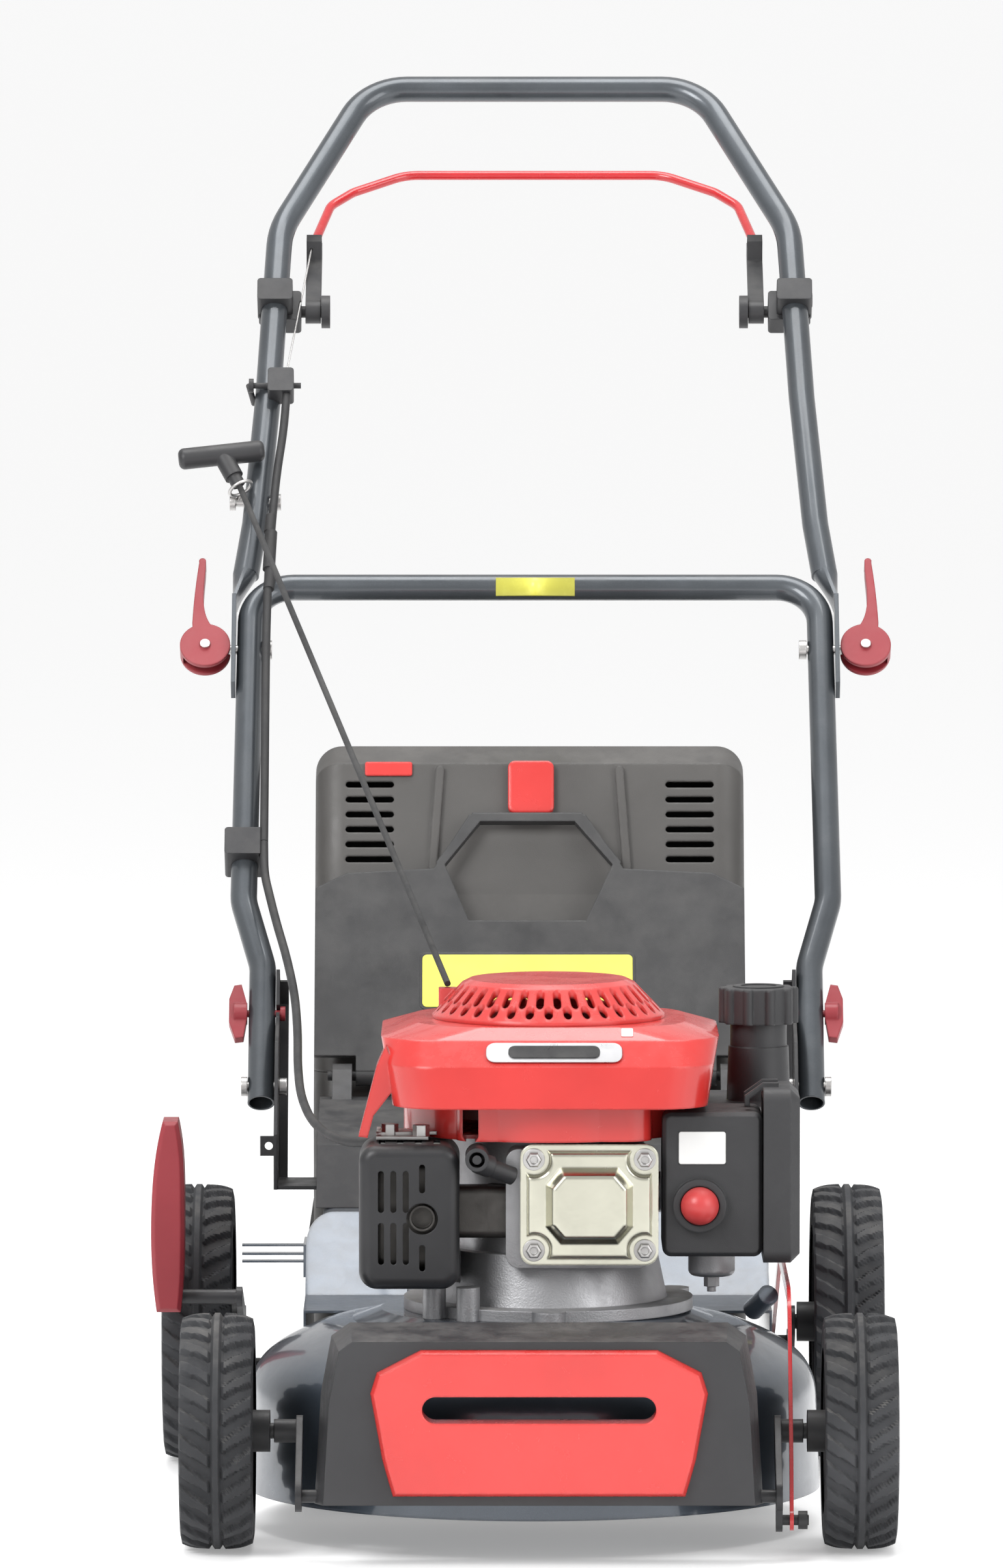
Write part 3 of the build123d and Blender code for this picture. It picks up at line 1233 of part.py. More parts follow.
# ---------------------------------------------------------------- brake bail
BAIL_PIVOT = along_handle(BAIL_UP, -BAIL_BEHIND)
BAIL_PLANE = Plane(origin=BAIL_PIVOT, x_dir=(1, 0, 0), z_dir=(0, -sin(radians(HANDLE_ANGLE - BAIL_REST)),
                                                          cos(radians(HANDLE_ANGLE - BAIL_REST))))
BAIL_PATH = [(-189.5, 62), (-189, 114), (-176, 174), (-157, 196), (-112, BAIL_REACH)]
BAIL_PATH += [(-px, reach) for px, reach in reversed(BAIL_PATH)]
ARM_IN_X, ARM_OUT_X = 182.4, 195.4
ARM_HUB_R = 10.0


def on_bail(x, reach, front=0.0):
    return BAIL_PLANE.from_local_coords(Vector(x, reach, front))


WIRE_LOW = on_handle(WIRE_X, STOP_UP + 12.1, CABLE_FRONT + 1)
WIRE_TOP = on_bail(-190.4, 82, 18)
WIRE_GROOVE = handle_rod(WIRE_LOW, WIRE_TOP, WIRE_R + 0.4)

with BuildPart() as bail:
    add(tube_part([on_bail(px, reach) for px, reach in BAIL_PATH], (60, 24, 24, 40, 40, 24, 24, 60), BAIL_ROD_R))
save(bail.part, "bail")

with BuildPart() as bail_arms:
    for side in (-1, 1):
        start_x = min(side * ARM_IN_X, side * ARM_OUT_X)
        with BuildSketch(Plane(origin=(start_x, BAIL_PIVOT.Y, BAIL_PIVOT.Z), x_dir=BAIL_PLANE.y_dir, z_dir=(1, 0, 0))):
            Circle(ARM_HUB_R)
            with BuildLine():
                Polyline((0, -9.5), (0, 9.5), (70, 9), (76, 24), (87, 24), (91, 6.5), (104, 5.4),
                         (104, -7), (60, -9),
                         close=True)
            make_face()
            Circle(5 + RUN_GAP, mode=Mode.SUBTRACT)
        extrude(amount=ARM_OUT_X - ARM_IN_X)
        add(handle_rod(on_bail(side * 189.5, 61.5), on_bail(side * 189.05, 110), BAIL_ROD_R + 0.05), mode=Mode.SUBTRACT)
        with BuildSketch(Plane(origin=(start_x - 1, BAIL_PIVOT.Y, BAIL_PIVOT.Z), x_dir=BAIL_PLANE.y_dir,
                               z_dir=(1, 0, 0))):
            with Locations((82, 18)):
                Circle(3.5)
        extrude(amount=ARM_OUT_X - ARM_IN_X + 2, mode=Mode.SUBTRACT)
    add(WIRE_GROOVE, mode=Mode.SUBTRACT)
save(bail_arms.part, "bail_arms")

with BuildPart() as bail_brackets:
    for side in (-1, 1):
        pin_x = sorted((side * 175, side * 206))
        add(x_rod(pin_x[0], pin_x[1], BAIL_PIVOT.Y, BAIL_PIVOT.Z, 5))
        disc_x = sorted((side * 174.5, side * 181.8))
        add(x_rod(disc_x[0], disc_x[1], BAIL_PIVOT.Y, BAIL_PIVOT.Z, 14))
        add(handle_box(side * 206.5, BAIL_UP, -17, 15, 30, 20))
        add(handle_box(side * 219, BAIL_UP, -12, 32, 28, 10))
        bolt_x = sorted((side * 234.5, side * 231))
        add(handle_box(side * 221, BAIL_UP, 2, 30, 22, 30))
        add(x_rod(bolt_x[0], bolt_x[1] + 2, along_handle(BAIL_UP).Y, along_handle(BAIL_UP).Z, 6))
    add(UPPER_BAR, mode=Mode.SUBTRACT)
    add(WIRE_GROOVE, mode=Mode.SUBTRACT)
save(bail_brackets.part, "bail_brackets")

# ---------------------------------------------------------------- rear flap
FLAP_T = 4.0
FLAP_PLANE = Plane(origin=(CATCHER_X, FLAP_PIN_Y, FLAP_PIN_Z), x_dir=(1, 0, 0),
                   z_dir=(0, -sin(radians(FLAP_LEAN)), cos(radians(FLAP_LEAN))))
HUMP_OUTLINE = [(-47, 238), (43, 238), (75, 192), (50, 132), (-54, 132), (-77, 192)]

with BuildPart() as rear_flap:
    with BuildSketch(FLAP_PLANE.offset(5)):
        with BuildLine():
            Polyline((-176, 14), (-176, 168), (-150, 182), (-79, 186), (-50, 236), (46, 236), (77, 186), (150, 182),
                     (176, 168), (176, 14), close=True)
        make_face()
    extrude(amount=FLAP_T)
    with BuildSketch(FLAP_PLANE.offset(5 + FLAP_T)):
        with BuildLine():
            Polyline(*HUMP_OUTLINE, close=True)
        make_face()
    extrude(amount=7, taper=30)
    with BuildSketch(FLAP_PLANE.offset(2)):
        with BuildLine():
            Polyline((-41, 230), (37, 230), (68, 190), (46, 138), (-50, 138), (-70, 190), close=True)
        make_face()
    extrude(amount=10, mode=Mode.SUBTRACT)
    with BuildSketch(FLAP_PLANE.offset(5 + FLAP_T)):
        with Locations((-2, 82)):
            RectangleRounded(176, 52, 5)
    extrude(amount=0.5)
    add(x_rod(CATCHER_X - 142, CATCHER_X + 152, FLAP_PIN_Y, FLAP_PIN_Z, 8.5))
    with BuildSketch(FLAP_PLANE.offset(0)):
        with Locations((5, 8)):
            Rectangle(294, 16)
    extrude(amount=5 + FLAP_T)
    add(x_rod(-200, 200, FLAP_PIN_Y, FLAP_PIN_Z, 3.97 + RUN_GAP), mode=Mode.SUBTRACT)
save(rear_flap.part, "rear_flap")

# ---------------------------------------------------------------- grass catcher
CATCHER_OUTLINE = [(662, 75), (662, 270), (672, 296), (756, 440), (800, 545), (832, 557), (1050, 540), (1085, 500),
                   (1075, 130), (1040, 75)]
CATCHER_SPLIT_Z = 300.0
CATCHER_WALL = 3.0
SLOPE_AT = Vector(CATCHER_X, FRONT_AXLE_Y + 778, 492.5)
SLOPE_PLANE = Plane(origin=SLOPE_AT, x_dir=(1, 0, 0), z_dir=(0, -105, 44))


def half_space(low_z, high_z):
    with BuildPart() as half:
        with Locations((CATCHER_X, FRONT_AXLE_Y + 870, (low_z + high_z) / 2)):
            Box(500, 700, high_z - low_z)
    return half.part


with BuildPart() as outer_catcher:
    with BuildSketch(x_plane(CATCHER_X - CATCHER_HALF)):
        with BuildLine():
            Polyline(*[(FRONT_AXLE_Y + y, z) for y, z in CATCHER_OUTLINE], close=True)
        make_face()
    extrude(amount=2 * CATCHER_HALF)
    fillet(outer_catcher.faces().filter_by(Axis.X).edges(), 22)
with BuildPart() as inner_catcher:
    with BuildSketch(x_plane(CATCHER_X - CATCHER_HALF + CATCHER_WALL)):
        with BuildLine():
            outline = Polyline(*[(FRONT_AXLE_Y + y, z) for y, z in CATCHER_OUTLINE], close=True)
        make_face()
        offset(amount=-CATCHER_WALL, kind=Kind.INTERSECTION, mode=Mode.REPLACE)
    extrude(amount=2 * (CATCHER_HALF - CATCHER_WALL))
    fillet(inner_catcher.faces().filter_by(Axis.X).edges(), 19)

with BuildPart() as catcher_basket:
    add(outer_catcher.part)
    add(inner_catcher.part, mode=Mode.SUBTRACT)
    add(half_space(CATCHER_SPLIT_Z, 700), mode=Mode.SUBTRACT)
    with BuildSketch(front_plane(FRONT_AXLE_Y + 700, CATCHER_X, 185)):
        RectangleRounded(300, 190, 12)
    extrude(amount=60, mode=Mode.SUBTRACT)
save(catcher_basket.part, "catcher_basket")

with BuildPart() as catcher_top:
    add(outer_catcher.part)
    add(inner_catcher.part, mode=Mode.SUBTRACT)
    add(half_space(0, CATCHER_SPLIT_Z + 0.4), mode=Mode.SUBTRACT)
    for side in (-1, 1):
        with BuildSketch(SLOPE_PLANE):
            with Locations((side * 132, 6)):
                with GridLocations(1, 13, 1, 6):
                    SlotOverall(40, 5.5)
        extrude(amount=20, both=True, mode=Mode.SUBTRACT)
        with BuildSketch(SLOPE_PLANE.offset(-2)):
            with Locations((side * 77, 8)):
                SlotOverall(92, 7, rotation=90 + side * 4)
        extrude(amount=6)
save(catcher_top.part, "catcher_top")

with BuildPart() as catcher_latch:
    with BuildSketch(SLOPE_PLANE.offset(1.2)):
        with Locations((1, 34)):
            RectangleRounded(38, 46, 6)
    extrude(amount=7)
    fillet(catcher_latch.faces().sort_by(Axis.Y)[0].edges(), 2)
save(catcher_latch.part, "catcher_latch")

with BuildPart() as level_indicator:
    with BuildSketch(SLOPE_PLANE.offset(0.4)):
        with Locations((-116.5, 51.5)):
            RectangleRounded(39, 12, 2)
    extrude(amount=2)
save(level_indicator.part, "level_indicator")

# ---------------------------------------------------------------- ropes and cables
ROPE_R = 2.5
ROPE_FROM = Vector(CRANK_X - 78, CRANK_Y + 6, 417)
ROPE_MID = ROPE_FROM + (RING_AT - ROPE_FROM) * 0.5

with BuildPart() as starter_rope_lower:
    add(handle_rod(ROPE_FROM, ROPE_MID, ROPE_R))
save(starter_rope_lower.part, "starter_rope_lower")

with BuildPart() as starter_rope_upper:
    add(handle_rod(ROPE_MID, RING_AT, ROPE_R))
    add(handle_rod(RING_AT, GRIP_AT - GRIP_AXIS * 8.1, ROPE_R))
save(starter_rope_upper.part, "starter_rope_upper")

with BuildPart() as cable_wire:
    add(handle_rod(WIRE_LOW, WIRE_TOP, WIRE_R))
    add(handle_rod(WIRE_TOP - Vector(5, 0, 0), WIRE_TOP + Vector(5, 0, 0), 3.4))
    add(handle_rod(on_handle(WIRE_X, STOP_UP - 11.9, CABLE_FRONT + 1), WIRE_LOW, WIRE_R))
save(cable_wire.part, "cable_wire")



def cable_tube(points):
    """Sheathed cable: straight runs joined by arcs as large as the runs allow."""
    radii = []
    for before, corner, after in zip(points, points[1:], points[2:]):
        turn = (corner - before).get_angle(after - corner)
        run = min((corner - before).length, (after - corner).length)
        radii.append(0.45 * run / tan(radians(turn / 2)))
    return tube_part(points, radii, CABLE_R)


UPPER_CABLE = [(WIRE_X, STOP_UP - 12.6, 18), (-212, 645, 18), (-217.5, 600, 17.3), (-221, 550, 17), (-223.5, 495, 17.1),
               (-224.5, 430, 16.9), (-224.4, 365, 17.2), (-224.2, 300, 16.9), (-224, CLIP_UP, CABLE_FRONT)]
with BuildPart() as brake_cable_upper:
    add(cable_tube([on_handle(*point) for point in UPPER_CABLE]))
    for top, low, ferrule_r in ((557, 540, 4.6), (540, 502, 5.2), (502, 482, 4.6)):
        add(handle_rod(on_handle(-221.5, top, CABLE_FRONT), on_handle(-223, low, CABLE_FRONT), ferrule_r))
save(brake_cable_upper.part, "brake_cable_upper")

LOWER_CABLE = [
    on_handle(CLIP_X, CLIP_UP - 0.6, CABLE_FRONT),
    on_handle(CLIP_X + 0.6, CLIP_UP - 32, CABLE_FRONT + 1),
    Vector(-213, FRONT_AXLE_Y + 690, 424),
    Vector(-203, FRONT_AXLE_Y + 625, 400),
    Vector(-195, FRONT_AXLE_Y + 560, 374),
    Vector(-191.5, FRONT_AXLE_Y + 490, 350),
    Vector(-190.5, FRONT_AXLE_Y + 420, 330),
    Vector(-187, FRONT_AXLE_Y + 350, 313),
    Vector(-178, FRONT_AXLE_Y + 280, 301),
    Vector(-164, FRONT_AXLE_Y + 215, 295),
    Vector(-145, FRONT_AXLE_Y + 165, 294),
    Vector(BRAKE_END[0] - 2.7, BRAKE_END[1], BRAKE_END[2]),
]
with BuildPart() as brake_cable_lower:
    add(cable_tube(LOWER_CABLE))
save(brake_cable_lower.part, "brake_cable_lower")
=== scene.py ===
import bpy
import json
import math
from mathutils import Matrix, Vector


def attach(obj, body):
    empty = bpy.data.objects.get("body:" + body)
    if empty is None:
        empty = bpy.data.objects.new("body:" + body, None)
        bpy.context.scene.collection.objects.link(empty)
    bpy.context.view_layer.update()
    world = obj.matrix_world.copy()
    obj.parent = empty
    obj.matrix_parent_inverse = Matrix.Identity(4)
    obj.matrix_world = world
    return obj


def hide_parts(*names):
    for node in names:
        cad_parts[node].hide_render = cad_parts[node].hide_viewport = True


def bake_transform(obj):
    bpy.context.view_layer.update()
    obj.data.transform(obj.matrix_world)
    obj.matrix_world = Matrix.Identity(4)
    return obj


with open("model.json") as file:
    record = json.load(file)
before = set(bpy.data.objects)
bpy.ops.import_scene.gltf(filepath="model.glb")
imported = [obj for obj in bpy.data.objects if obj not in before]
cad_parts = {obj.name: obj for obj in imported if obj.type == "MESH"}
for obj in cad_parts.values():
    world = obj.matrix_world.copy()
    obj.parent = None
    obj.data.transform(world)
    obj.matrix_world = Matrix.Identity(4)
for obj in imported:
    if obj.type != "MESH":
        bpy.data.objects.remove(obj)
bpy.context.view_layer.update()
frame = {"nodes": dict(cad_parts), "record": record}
NODES = frame["nodes"]

# Places in metres: X across the mower, Y from its front to its rear, Z up.
FRONT_AXLE_Y = -0.608
REAR_AXLE_Y = -0.068
HANDLE_LEAN = math.radians(52)
HANDLE_UP = Vector((0, math.cos(HANDLE_LEAN), math.sin(HANDLE_LEAN)))
HANDLE_OUT = Vector((0, -math.sin(HANDLE_LEAN), math.cos(HANDLE_LEAN)))
HANDLE_PIVOT = Vector((0, FRONT_AXLE_Y + 0.642, 0.292))
FLAP_LEAN = math.radians(58)
FLAP_UP = Vector((0, math.cos(FLAP_LEAN), math.sin(FLAP_LEAN)))
FLAP_OUT = Vector((0, -math.sin(FLAP_LEAN), math.cos(FLAP_LEAN)))
COWL_SLOPE_UP = (0, 0.707, 0.707)
STICKER_THICKNESS = 0.0003
BADGE_THICKNESS = 0.0008
DUST_COLOUR = (0.42, 0.40, 0.37)


def on_handle(x, up, front):
    """A point on the leaning handle: across, up its tubes from the fold, and out of their plane."""
    return HANDLE_PIVOT + Vector((x, 0, 0)) + HANDLE_UP * up + HANDLE_OUT * front


# ------------------------------------------------------------------ materials
def new_material(name):
    """An empty node material and its tree."""
    mat = bpy.data.materials.new(name)
    mat.use_nodes = True
    tree = mat.node_tree
    tree.nodes.clear()
    return mat, tree


def node(tree, kind, **inputs):
    """A new node with the named inputs set."""
    made = tree.nodes.new(kind)
    for key, value in inputs.items():
        made.inputs[key.replace("_", " ")].default_value = value
    return made


def noise(tree, coords, scale, detail, rough=0.55, distortion=0.0):
    """Noise from 0 to 1 over the given coordinates."""
    made = node(tree, "ShaderNodeTexNoise", Scale=scale, Detail=detail, Roughness=rough,
                Distortion=distortion)
    tree.links.new(coords, made.inputs["Vector"])
    return made.outputs["Fac"]


def spread(tree, value, from_min, from_max, to_min=0.0, to_max=1.0):
    """A value mapped from one range to another, held at its ends."""
    made = node(tree, "ShaderNodeMapRange", From_Min=from_min, From_Max=from_max, To_Min=to_min,
                To_Max=to_max)
    tree.links.new(value, made.inputs["Value"])
    return made.outputs["Result"]


def blend_colour(tree, factor, first, second):
    """Two colours mixed by a socket's value; each is a socket or red, green and blue."""
    made = tree.nodes.new("ShaderNodeMix")
    made.data_type = "RGBA"
    for socket, value in ((6, first), (7, second)):
        if isinstance(value, (tuple, list)):
            made.inputs[socket].default_value = (*value[:3], 1)
        else:
            tree.links.new(value, made.inputs[socket])
    tree.links.new(factor, made.inputs[0])
    return made.outputs[2]


def times(tree, first, second, operation="MULTIPLY"):
    """Two sockets or numbers multiplied, or put together by another math operation."""
    made = tree.nodes.new("ShaderNodeMath")
    made.operation = operation
    for index, value in enumerate((first, second)):
        if isinstance(value, float):
            made.inputs[index].default_value = value
        else:
            tree.links.new(value, made.inputs[index])
    return made.outputs[0]


def surface(name, colour, rough, metallic=0.0, grain=1400.0, grain_depth=0.00006, vary=0.12,
            edge=0.0012, wear=0.35, wear_colour=None, coat=0.0, dust=0.10, spec=0.5, flake=0.0,
            stretch=(1, 1, 1)):
    """One finish: tinted patches, uneven gloss, grain, slightly worn edges, dust on top faces."""
    mat, tree = new_material(name)
    links = tree.links
    coords = tree.nodes.new("ShaderNodeTexCoord").outputs["Object"]
    geometry = tree.nodes.new("ShaderNodeNewGeometry")
    mapping = tree.nodes.new("ShaderNodeMapping")
    mapping.inputs["Scale"].default_value = stretch
    links.new(coords, mapping.inputs["Vector"])
    scaled = mapping.outputs["Vector"]
    patches = noise(tree, coords, 7.0, 5.0)
    fine = noise(tree, scaled, grain, 2.0, 0.6)
    smears = noise(tree, coords, 38.0, 6.0, 0.65, 0.6)
    dark = tuple(c * (1 - vary) for c in colour)
    light = tuple(min(1.0, c * (1 + vary) + 0.004) for c in colour)
    base = blend_colour(tree, spread(tree, patches, 0.35, 0.65), dark, light)
    if flake:
        sparkle = noise(tree, coords, 5200.0, 1.0, 0.5)
        tint = tuple(min(1.0, c * 2.2 + 0.05) for c in colour)
        share = times(tree, spread(tree, sparkle, 0.58, 0.75), flake)
        base = blend_colour(tree, share, base, tint)
    rounded = node(tree, "ShaderNodeBevel", Radius=edge)
    rounded.samples = 4
    facing = tree.nodes.new("ShaderNodeVectorMath")
    facing.operation = "DOT_PRODUCT"
    links.new(rounded.outputs["Normal"], facing.inputs[0])
    links.new(geometry.outputs["True Normal"], facing.inputs[1])
    corner = spread(tree, facing.outputs["Value"], 0.995, 0.86)
    scuffed = times(tree, corner, spread(tree, noise(tree, coords, 90.0, 5.0, 0.7), 0.5, 0.62))
    worn = wear_colour or tuple(min(1.0, c * 1.6 + 0.05) for c in colour)
    base = blend_colour(tree, times(tree, scuffed, wear), base, worn)
    upward = tree.nodes.new("ShaderNodeSeparateXYZ")
    links.new(geometry.outputs["Normal"], upward.inputs[0])
    settled = times(tree, spread(tree, upward.outputs["Z"], 0.35, 1.0),
                    spread(tree, noise(tree, coords, 22.0, 8.0, 0.7), 0.42, 0.68))
    base = blend_colour(tree, times(tree, settled, dust), base, DUST_COLOUR)
    shader = tree.nodes.new("ShaderNodeBsdfPrincipled")
    shader.inputs["Metallic"].default_value = metallic
    shader.inputs["Specular IOR Level"].default_value = spec
    shader.inputs["Coat Weight"].default_value = coat
    shader.inputs["Coat Roughness"].default_value = 0.08
    links.new(base, shader.inputs["Base Color"])
    gloss = times(tree, spread(tree, smears, 0.3, 0.7, rough * 0.82, min(1.0, rough * 1.2)),
                  times(tree, settled, dust * 1.5), "ADD")
    links.new(gloss, shader.inputs["Roughness"])
    bump = node(tree, "ShaderNodeBump", Strength=1.0, Distance=grain_depth)
    links.new(fine, bump.inputs["Height"])
    links.new(rounded.outputs["Normal"], bump.inputs["Normal"])
    links.new(bump.outputs["Normal"], shader.inputs["Normal"])
    out = tree.nodes.new("ShaderNodeOutputMaterial")
    links.new(shader.outputs["BSDF"], out.inputs["Surface"])
    return mat


FINISH = {
    "tyre": surface("tyre", (0.030, 0.031, 0.034), 0.72, grain=1900, grain_depth=0.00012,
                    vary=0.22, dust=0.22, wear=0.45, wear_colour=(0.10, 0.10, 0.10), spec=0.35),
    "black_plastic": surface("black_plastic", (0.020, 0.020, 0.022), 0.46, grain=2200,
                             grain_depth=0.00007, dust=0.12),
    "steel": surface("steel", (0.52, 0.51, 0.50), 0.34, 1.0, grain=900, grain_depth=0.00003,
                     vary=0.16, wear=0.2, stretch=(0.15, 1, 1)),
    "deck_paint": surface("deck_paint", (0.066, 0.082, 0.105), 0.33, 0.55, grain=420,
                          grain_depth=0.00002, coat=0.85, flake=0.5, dust=0.16, edge=0.004),
    "black_steel": surface("black_steel", (0.022, 0.022, 0.024), 0.38, 0.2, grain=700,
                           grain_depth=0.00004, dust=0.15),
    "cast_aluminium": surface("cast_aluminium", (0.33, 0.33, 0.34), 0.48, 0.9, grain=650,
                              grain_depth=0.0002, vary=0.2, dust=0.3),
    "bright_metal": surface("bright_metal", (0.56, 0.55, 0.46), 0.20, 1.0, grain=300,
                            grain_depth=0.00003, vary=0.10, edge=0.002),
    "filter_black": surface("filter_black", (0.024, 0.024, 0.026), 0.52, grain=1500,
                            grain_depth=0.0001, edge=0.002),
    "rubber": surface("rubber", (0.020, 0.020, 0.021), 0.55, grain=2400, grain_depth=0.00006,
                      spec=0.4),
    "red_plastic": surface("red_plastic", (0.56, 0.030, 0.026), 0.24, grain=900,
                           grain_depth=0.00002, coat=0.4, edge=0.003, dust=0.10, vary=0.08),
    "red_rubber": surface("red_rubber", (0.52, 0.045, 0.045), 0.38, grain=1500,
                          grain_depth=0.00005, vary=0.08),
    "handle_paint": surface("handle_paint", (0.062, 0.070, 0.079), 0.34, 0.55, grain=500,
                            grain_depth=0.00002, coat=0.5, flake=0.55, dust=0.08),
    "red_paint": surface("red_paint", (0.48, 0.010, 0.014), 0.24, grain=500, grain_depth=0.00002,
                         coat=0.6),
    "lever_red": surface("lever_red", (0.24, 0.018, 0.026), 0.38, grain=1700, grain_depth=0.00006,
                         edge=0.002),
    "flap_grey": surface("flap_grey", (0.030, 0.030, 0.031), 0.40, grain=1600, grain_depth=0.0001,
                         edge=0.002, dust=0.14),
    "catcher_grey": surface("catcher_grey", (0.060, 0.057, 0.054), 0.46, grain=1300,
                            grain_depth=0.00014, edge=0.003, dust=0.10),
    "rope": surface("rope", (0.030, 0.030, 0.031), 0.75, grain=1800, grain_depth=0.0006,
                    vary=0.25, edge=0.0005),
}
BURNT_STEEL = surface("burnt_steel", (0.10, 0.095, 0.09), 0.5, 1.0, grain=800,
                      grain_depth=0.00006, vary=0.3)
for part in frame["record"]["subparts"]:
    finish = BURNT_STEEL if part["node"] == "muffler" else FINISH[part["material_slot"]]
    mesh = NODES[part["node"]].data
    mesh.materials.clear()
    mesh.materials.append(finish)

WHITE_LABEL = surface("white_label", (0.72, 0.72, 0.71), 0.35, vary=0.04, wear=0.1)
YELLOW_LABEL = surface("yellow_label", (0.80, 0.76, 0.12), 0.34, vary=0.06, wear=0.15)
SILVER_LABEL = surface("silver_label", (0.55, 0.55, 0.56), 0.3, 0.7, vary=0.08)
DARK_LABEL = surface("dark_label", (0.012, 0.012, 0.013), 0.3, vary=0.1)


# ------------------------------------------------------------------ mesh helpers
def mesh_object(name, verts, faces, material, smooth=True):
    """A linked mesh object with one material."""
    mesh = bpy.data.meshes.new(name)
    mesh.from_pydata(verts, [], faces)
    mesh.update()
    for face in mesh.polygons:
        face.use_smooth = smooth
    mesh.materials.append(material)
    obj = bpy.data.objects.new(name, mesh)
    bpy.context.scene.collection.objects.link(obj)
    return obj


def grid_faces(rows, cols, close_rows=False):
    """Quads over rows of vertices, with the last row joined to the first where asked."""
    faces = []
    for i in range(rows if close_rows else rows - 1):
        for j in range(cols - 1):
            a, b = i * cols + j, ((i + 1) % rows) * cols + j
            faces.append((a, b, b + 1, a + 1))
    return faces


def plate(name, centre, right, up, width, height, thick, corner, material, body, steps=6):
    """A flat label or badge with rounded corners, lying on a surface."""
    right, up = Vector(right).normalized(), Vector(up).normalized()
    out = right.cross(up)
    ring = []
    for cx, cy, start in ((1, 1, 0), (-1, 1, 90), (-1, -1, 180), (1, -1, 270)):
        for k in range(steps + 1):
            a = math.radians(start + 90 * k / steps)
            ring.append((cx * (width / 2 - corner) + corner * math.cos(a),
                         cy * (height / 2 - corner) + corner * math.sin(a)))
    count = len(ring)
    verts = [Vector(centre) + right * x + up * y + out * z for z in (0, thick) for x, y in ring]
    faces = [(i, (i + 1) % count, count + (i + 1) % count, count + i) for i in range(count)]
    faces += [tuple(range(count, 2 * count)), tuple(reversed(range(count)))]
    obj = mesh_object(name, verts, faces, material, smooth=False)
    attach(obj, body)


# ------------------------------------------------------------------ tyres
TREAD_HALF_WIDTH = 0.028 * 0.995
TREAD_DEPTH = 0.0042
CROWN_DROP = 0.0045
CROWN_POWER = 3.2
TREAD_COLUMNS = 27
STEPS_PER_LUG = 12
FRONT_RADIUS, REAR_RADIUS = 0.0905, 0.1115
FRONT_LUGS, REAR_LUGS = 26, 32


def tread_depth(turn, across, lugs):
    """Height of the tread above its floor, 0 to 1, at a share of a turn and from -1 to 1 across."""
    side = abs(across)
    if side < 0.13:
        return 1.0
    if side < 0.22:
        return 0.25
    phase = (turn * lugs + side * 0.9 + (0.5 if across < 0 else 0.0)) % 1.0
    width = 0.60 if side > 0.6 else 0.52
    edge = min(phase, width - phase) / 0.07 if phase < width else 0.0
    return max(0.0, min(1.0, edge))


def build_tyre(corner, x, y, radius, lugs):
    """A tyre with a cut tread, turned round the wheel's axle."""
    rim = radius * 0.70
    around = lugs * STEPS_PER_LUG
    sidewall = [(-1.0, rim), (-1.0, rim + 0.004), (-0.985, (rim + radius) / 2),
                (-1.0, radius - 0.010)]
    across = [-0.96 + 1.92 * k / (TREAD_COLUMNS - 1) for k in range(TREAD_COLUMNS)]
    verts = []
    cols = len(sidewall) * 2 + len(across)
    for i in range(around):
        a = 2 * math.pi * i / around
        ring = list(sidewall)
        for s in across:
            crown = radius - 0.0006 - CROWN_DROP * abs(s) ** CROWN_POWER
            ring.append((s, crown - TREAD_DEPTH * (1 - tread_depth(i / around, s, lugs))))
        ring += [(-s, r) for s, r in reversed(sidewall)]
        for s, r in ring:
            verts.append((x + s * TREAD_HALF_WIDTH, y + r * math.cos(a), radius + r * math.sin(a)))
    faces = grid_faces(around, cols, True)
    obj = mesh_object(f"tyre_tread_{corner}", verts, faces, FINISH["tyre"], smooth=False)
    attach(obj, "wheel_" + corner)
    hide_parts("tyre_" + corner)


for side, x in (("left", -0.2445), ("right", 0.2445)):
    build_tyre("front_" + side, x, FRONT_AXLE_Y, FRONT_RADIUS, FRONT_LUGS)
for side, x in (("left", -0.272), ("right", 0.250)):
    build_tyre("rear_" + side, x, REAR_AXLE_Y, REAR_RADIUS, REAR_LUGS)

# ------------------------------------------------------------------ labels
plate("filter_label", (0.1256, FRONT_AXLE_Y + 0.0694, 0.300), (1, 0, 0), (0, 0, 1), 0.036, 0.025,
      STICKER_THICKNESS, 0.002, WHITE_LABEL, "mower")
flap_pin = Vector((-0.007, FRONT_AXLE_Y + 0.650, 0.300))
plate("flap_label", flap_pin + FLAP_UP * 0.082 + FLAP_OUT * 0.0096, (1, 0, 0), FLAP_UP, 0.172, 0.048,
      STICKER_THICKNESS, 0.004, YELLOW_LABEL, "flap")
plate("cowl_badge", (0.012, -0.5545, 0.3745), (1, 0, 0), COWL_SLOPE_UP, 0.104, 0.019,
      BADGE_THICKNESS, 0.007, SILVER_LABEL, "mower")
plate("cowl_badge_field", (0.012, -0.5551, 0.3751), (1, 0, 0), COWL_SLOPE_UP, 0.070, 0.012,
      BADGE_THICKNESS, 0.005, DARK_LABEL, "mower")
plate("cowl_tab", (0.068, -0.5370, 0.3880), (1, 0, 0), (0, 0.5, 0.866), 0.009, 0.007, 0.002, 0.001,
      WHITE_LABEL, "mower")

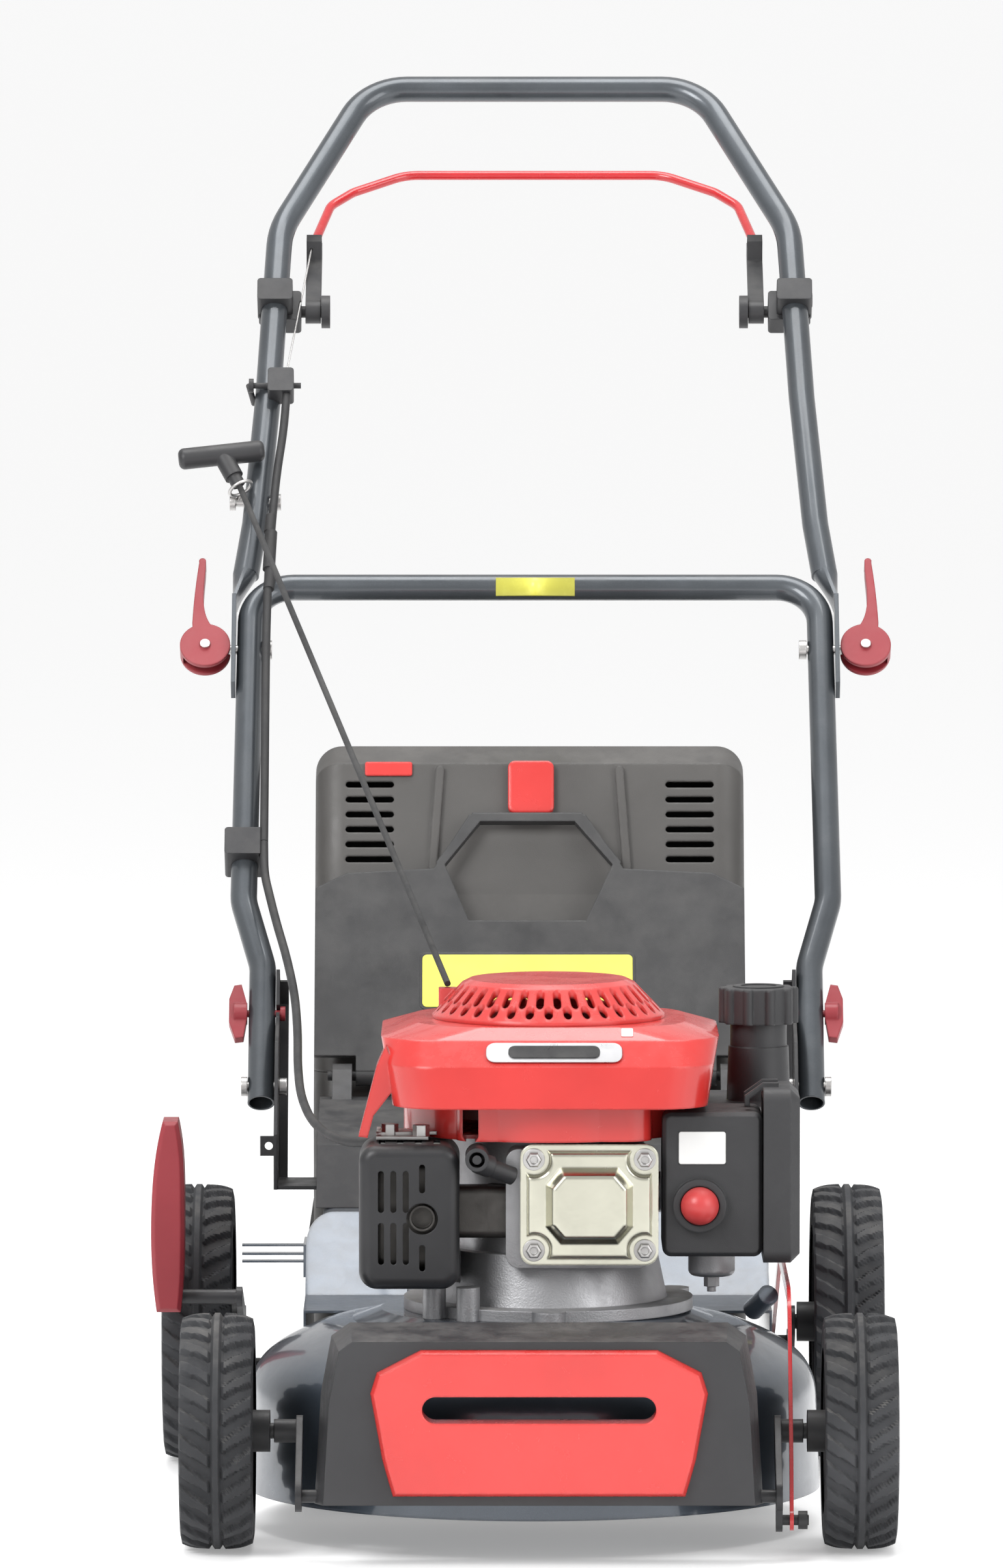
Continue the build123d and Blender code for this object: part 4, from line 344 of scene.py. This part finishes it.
# ------------------------------------------------------------------ handle details
def wrap(name, centre, half_width, radius, start, end, material, body):
    """Sticker wrapped part of the way round a bar that runs along X."""
    verts, steps = [], 24
    for i in range(steps + 1):
        a = start + (end - start) * i / steps
        for x in (-half_width, half_width):
            verts.append(centre + Vector((x, radius * math.cos(a), radius * math.sin(a))))
    obj = mesh_object(name, verts, grid_faces(steps + 1, 2), material)
    solid = obj.modifiers.new("thickness", "SOLIDIFY")
    solid.thickness = STICKER_THICKNESS
    solid.offset = 1
    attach(obj, body)


wrap("bar_sticker", on_handle(0, 0.4955, 0), 0.033, 0.01115, math.radians(130),
     math.radians(215), YELLOW_LABEL, "lower_handle")
for side, body in ((-1, "quick_release_left"), (1, "quick_release_right")):
    plate(f"lever_pin_{body}", on_handle(side * 0.2756, 0.432, 0.0091), (1, 0, 0), HANDLE_UP,
          0.0084, 0.0084, 0.0012, 0.0041, FINISH["steel"], body)

# ------------------------------------------------------------------ ropes and cables
RING_AT = Vector((-0.2477, FRONT_AXLE_Y + 0.986, 0.7639))
GRIP_AT = Vector((-0.2638, FRONT_AXLE_Y + 1.003, 0.7916))
ROPE_RADIUS = 0.0024
ROPE_SIDES = 16


def bend_between(name):
    """A copy of a cord's solid with its placement baked in, standing in for the hidden original."""
    obj = NODES[name].copy()
    obj.data = NODES[name].data.copy()
    obj.name = name + "_bent"
    for key in list(obj.keys()):
        del obj[key]
    obj.parent = None
    bpy.context.scene.collection.objects.link(obj)
    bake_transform(obj)
    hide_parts(name)


bend_between("starter_rope_lower")
bend_between("starter_rope_upper")
bend_between("brake_cable_lower")
bend_between("brake_cable_upper")
bend_between("cable_wire")

along = (GRIP_AT - RING_AT).normalized()
side_way = along.cross(Vector((1, 0, 0))).normalized()
other_way = along.cross(side_way)
rope_verts = []
for reach in (0.0, 0.010, 0.030):
    for k in range(ROPE_SIDES):
        a = 2 * math.pi * k / ROPE_SIDES
        round_rope = (side_way * math.cos(a) + other_way * math.sin(a)) * ROPE_RADIUS
        rope_verts.append(RING_AT + along * reach + round_rope)
rope_faces = []
for ring in range(2):
    for k in range(ROPE_SIDES):
        first, second = ring * ROPE_SIDES + k, ring * ROPE_SIDES + (k + 1) % ROPE_SIDES
        rope_faces.append((first, second, second + ROPE_SIDES, first + ROPE_SIDES))
rope_end = mesh_object("starter_rope_end", rope_verts, rope_faces, FINISH["rope"])
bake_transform(rope_end)

# ------------------------------------------------------------------ stage
floor_mat, floor_tree = new_material("studio_floor")
floor_shader = node(floor_tree, "ShaderNodeBsdfPrincipled", Roughness=0.6, Emission_Strength=0.28)
floor_shader.inputs["Base Color"].default_value = (0.86, 0.86, 0.86, 1)
floor_shader.inputs["Emission Color"].default_value = (1, 1, 1, 1)
floor_out = floor_tree.nodes.new("ShaderNodeOutputMaterial")
floor_tree.links.new(floor_shader.outputs["BSDF"], floor_out.inputs["Surface"])
FLOOR_HALF = 400.0
floor_verts = [(x, y, 0) for y in (-FLOOR_HALF, FLOOR_HALF) for x in (-FLOOR_HALF, FLOOR_HALF)]
floor = mesh_object("studio_floor", floor_verts, [(0, 1, 3, 2)], floor_mat)

world = bpy.data.worlds.new("studio")
bpy.context.scene.world = world
world.use_nodes = True
world.node_tree.nodes["Background"].inputs[0].default_value = (1, 1, 1, 1)
world.node_tree.nodes["Background"].inputs[1].default_value = 0.75


def area(name, place, aim, width, height, power):
    """A soft rectangular lamp that points at a place."""
    data = bpy.data.lights.new(name, "AREA")
    data.shape = "RECTANGLE"
    data.size, data.size_y, data.energy = width, height, power
    lamp = bpy.data.objects.new(name, data)
    lamp.location = place
    lamp.rotation_euler = (Vector(aim) - Vector(place)).to_track_quat("-Z", "Y").to_euler()
    bpy.context.scene.collection.objects.link(lamp)


area("key", (-2.2, -3.0, 2.9), (0, -0.2, 0.45), 1.8, 1.8, 120)
area("fill", (2.8, -2.6, 1.8), (0, -0.2, 0.45), 2.2, 2.2, 60)
area("top", (0.0, 0.4, 3.4), (0, -0.1, 0.3), 2.6, 1.6, 70)

camera_data = bpy.data.cameras.new("camera")
camera_data.sensor_fit = "VERTICAL"
camera_data.sensor_height = 36
camera_data.lens = 272.9
camera_data.clip_end = 1000
camera = bpy.data.objects.new("camera", camera_data)
camera.location = (-0.02828, -9.608, 1.2228)
camera.rotation_euler = (math.radians(90 - 4.056), 0, 0)
bpy.context.scene.collection.objects.link(camera)
bpy.context.scene.camera = camera
bpy.context.scene.view_settings.view_transform = "Standard"
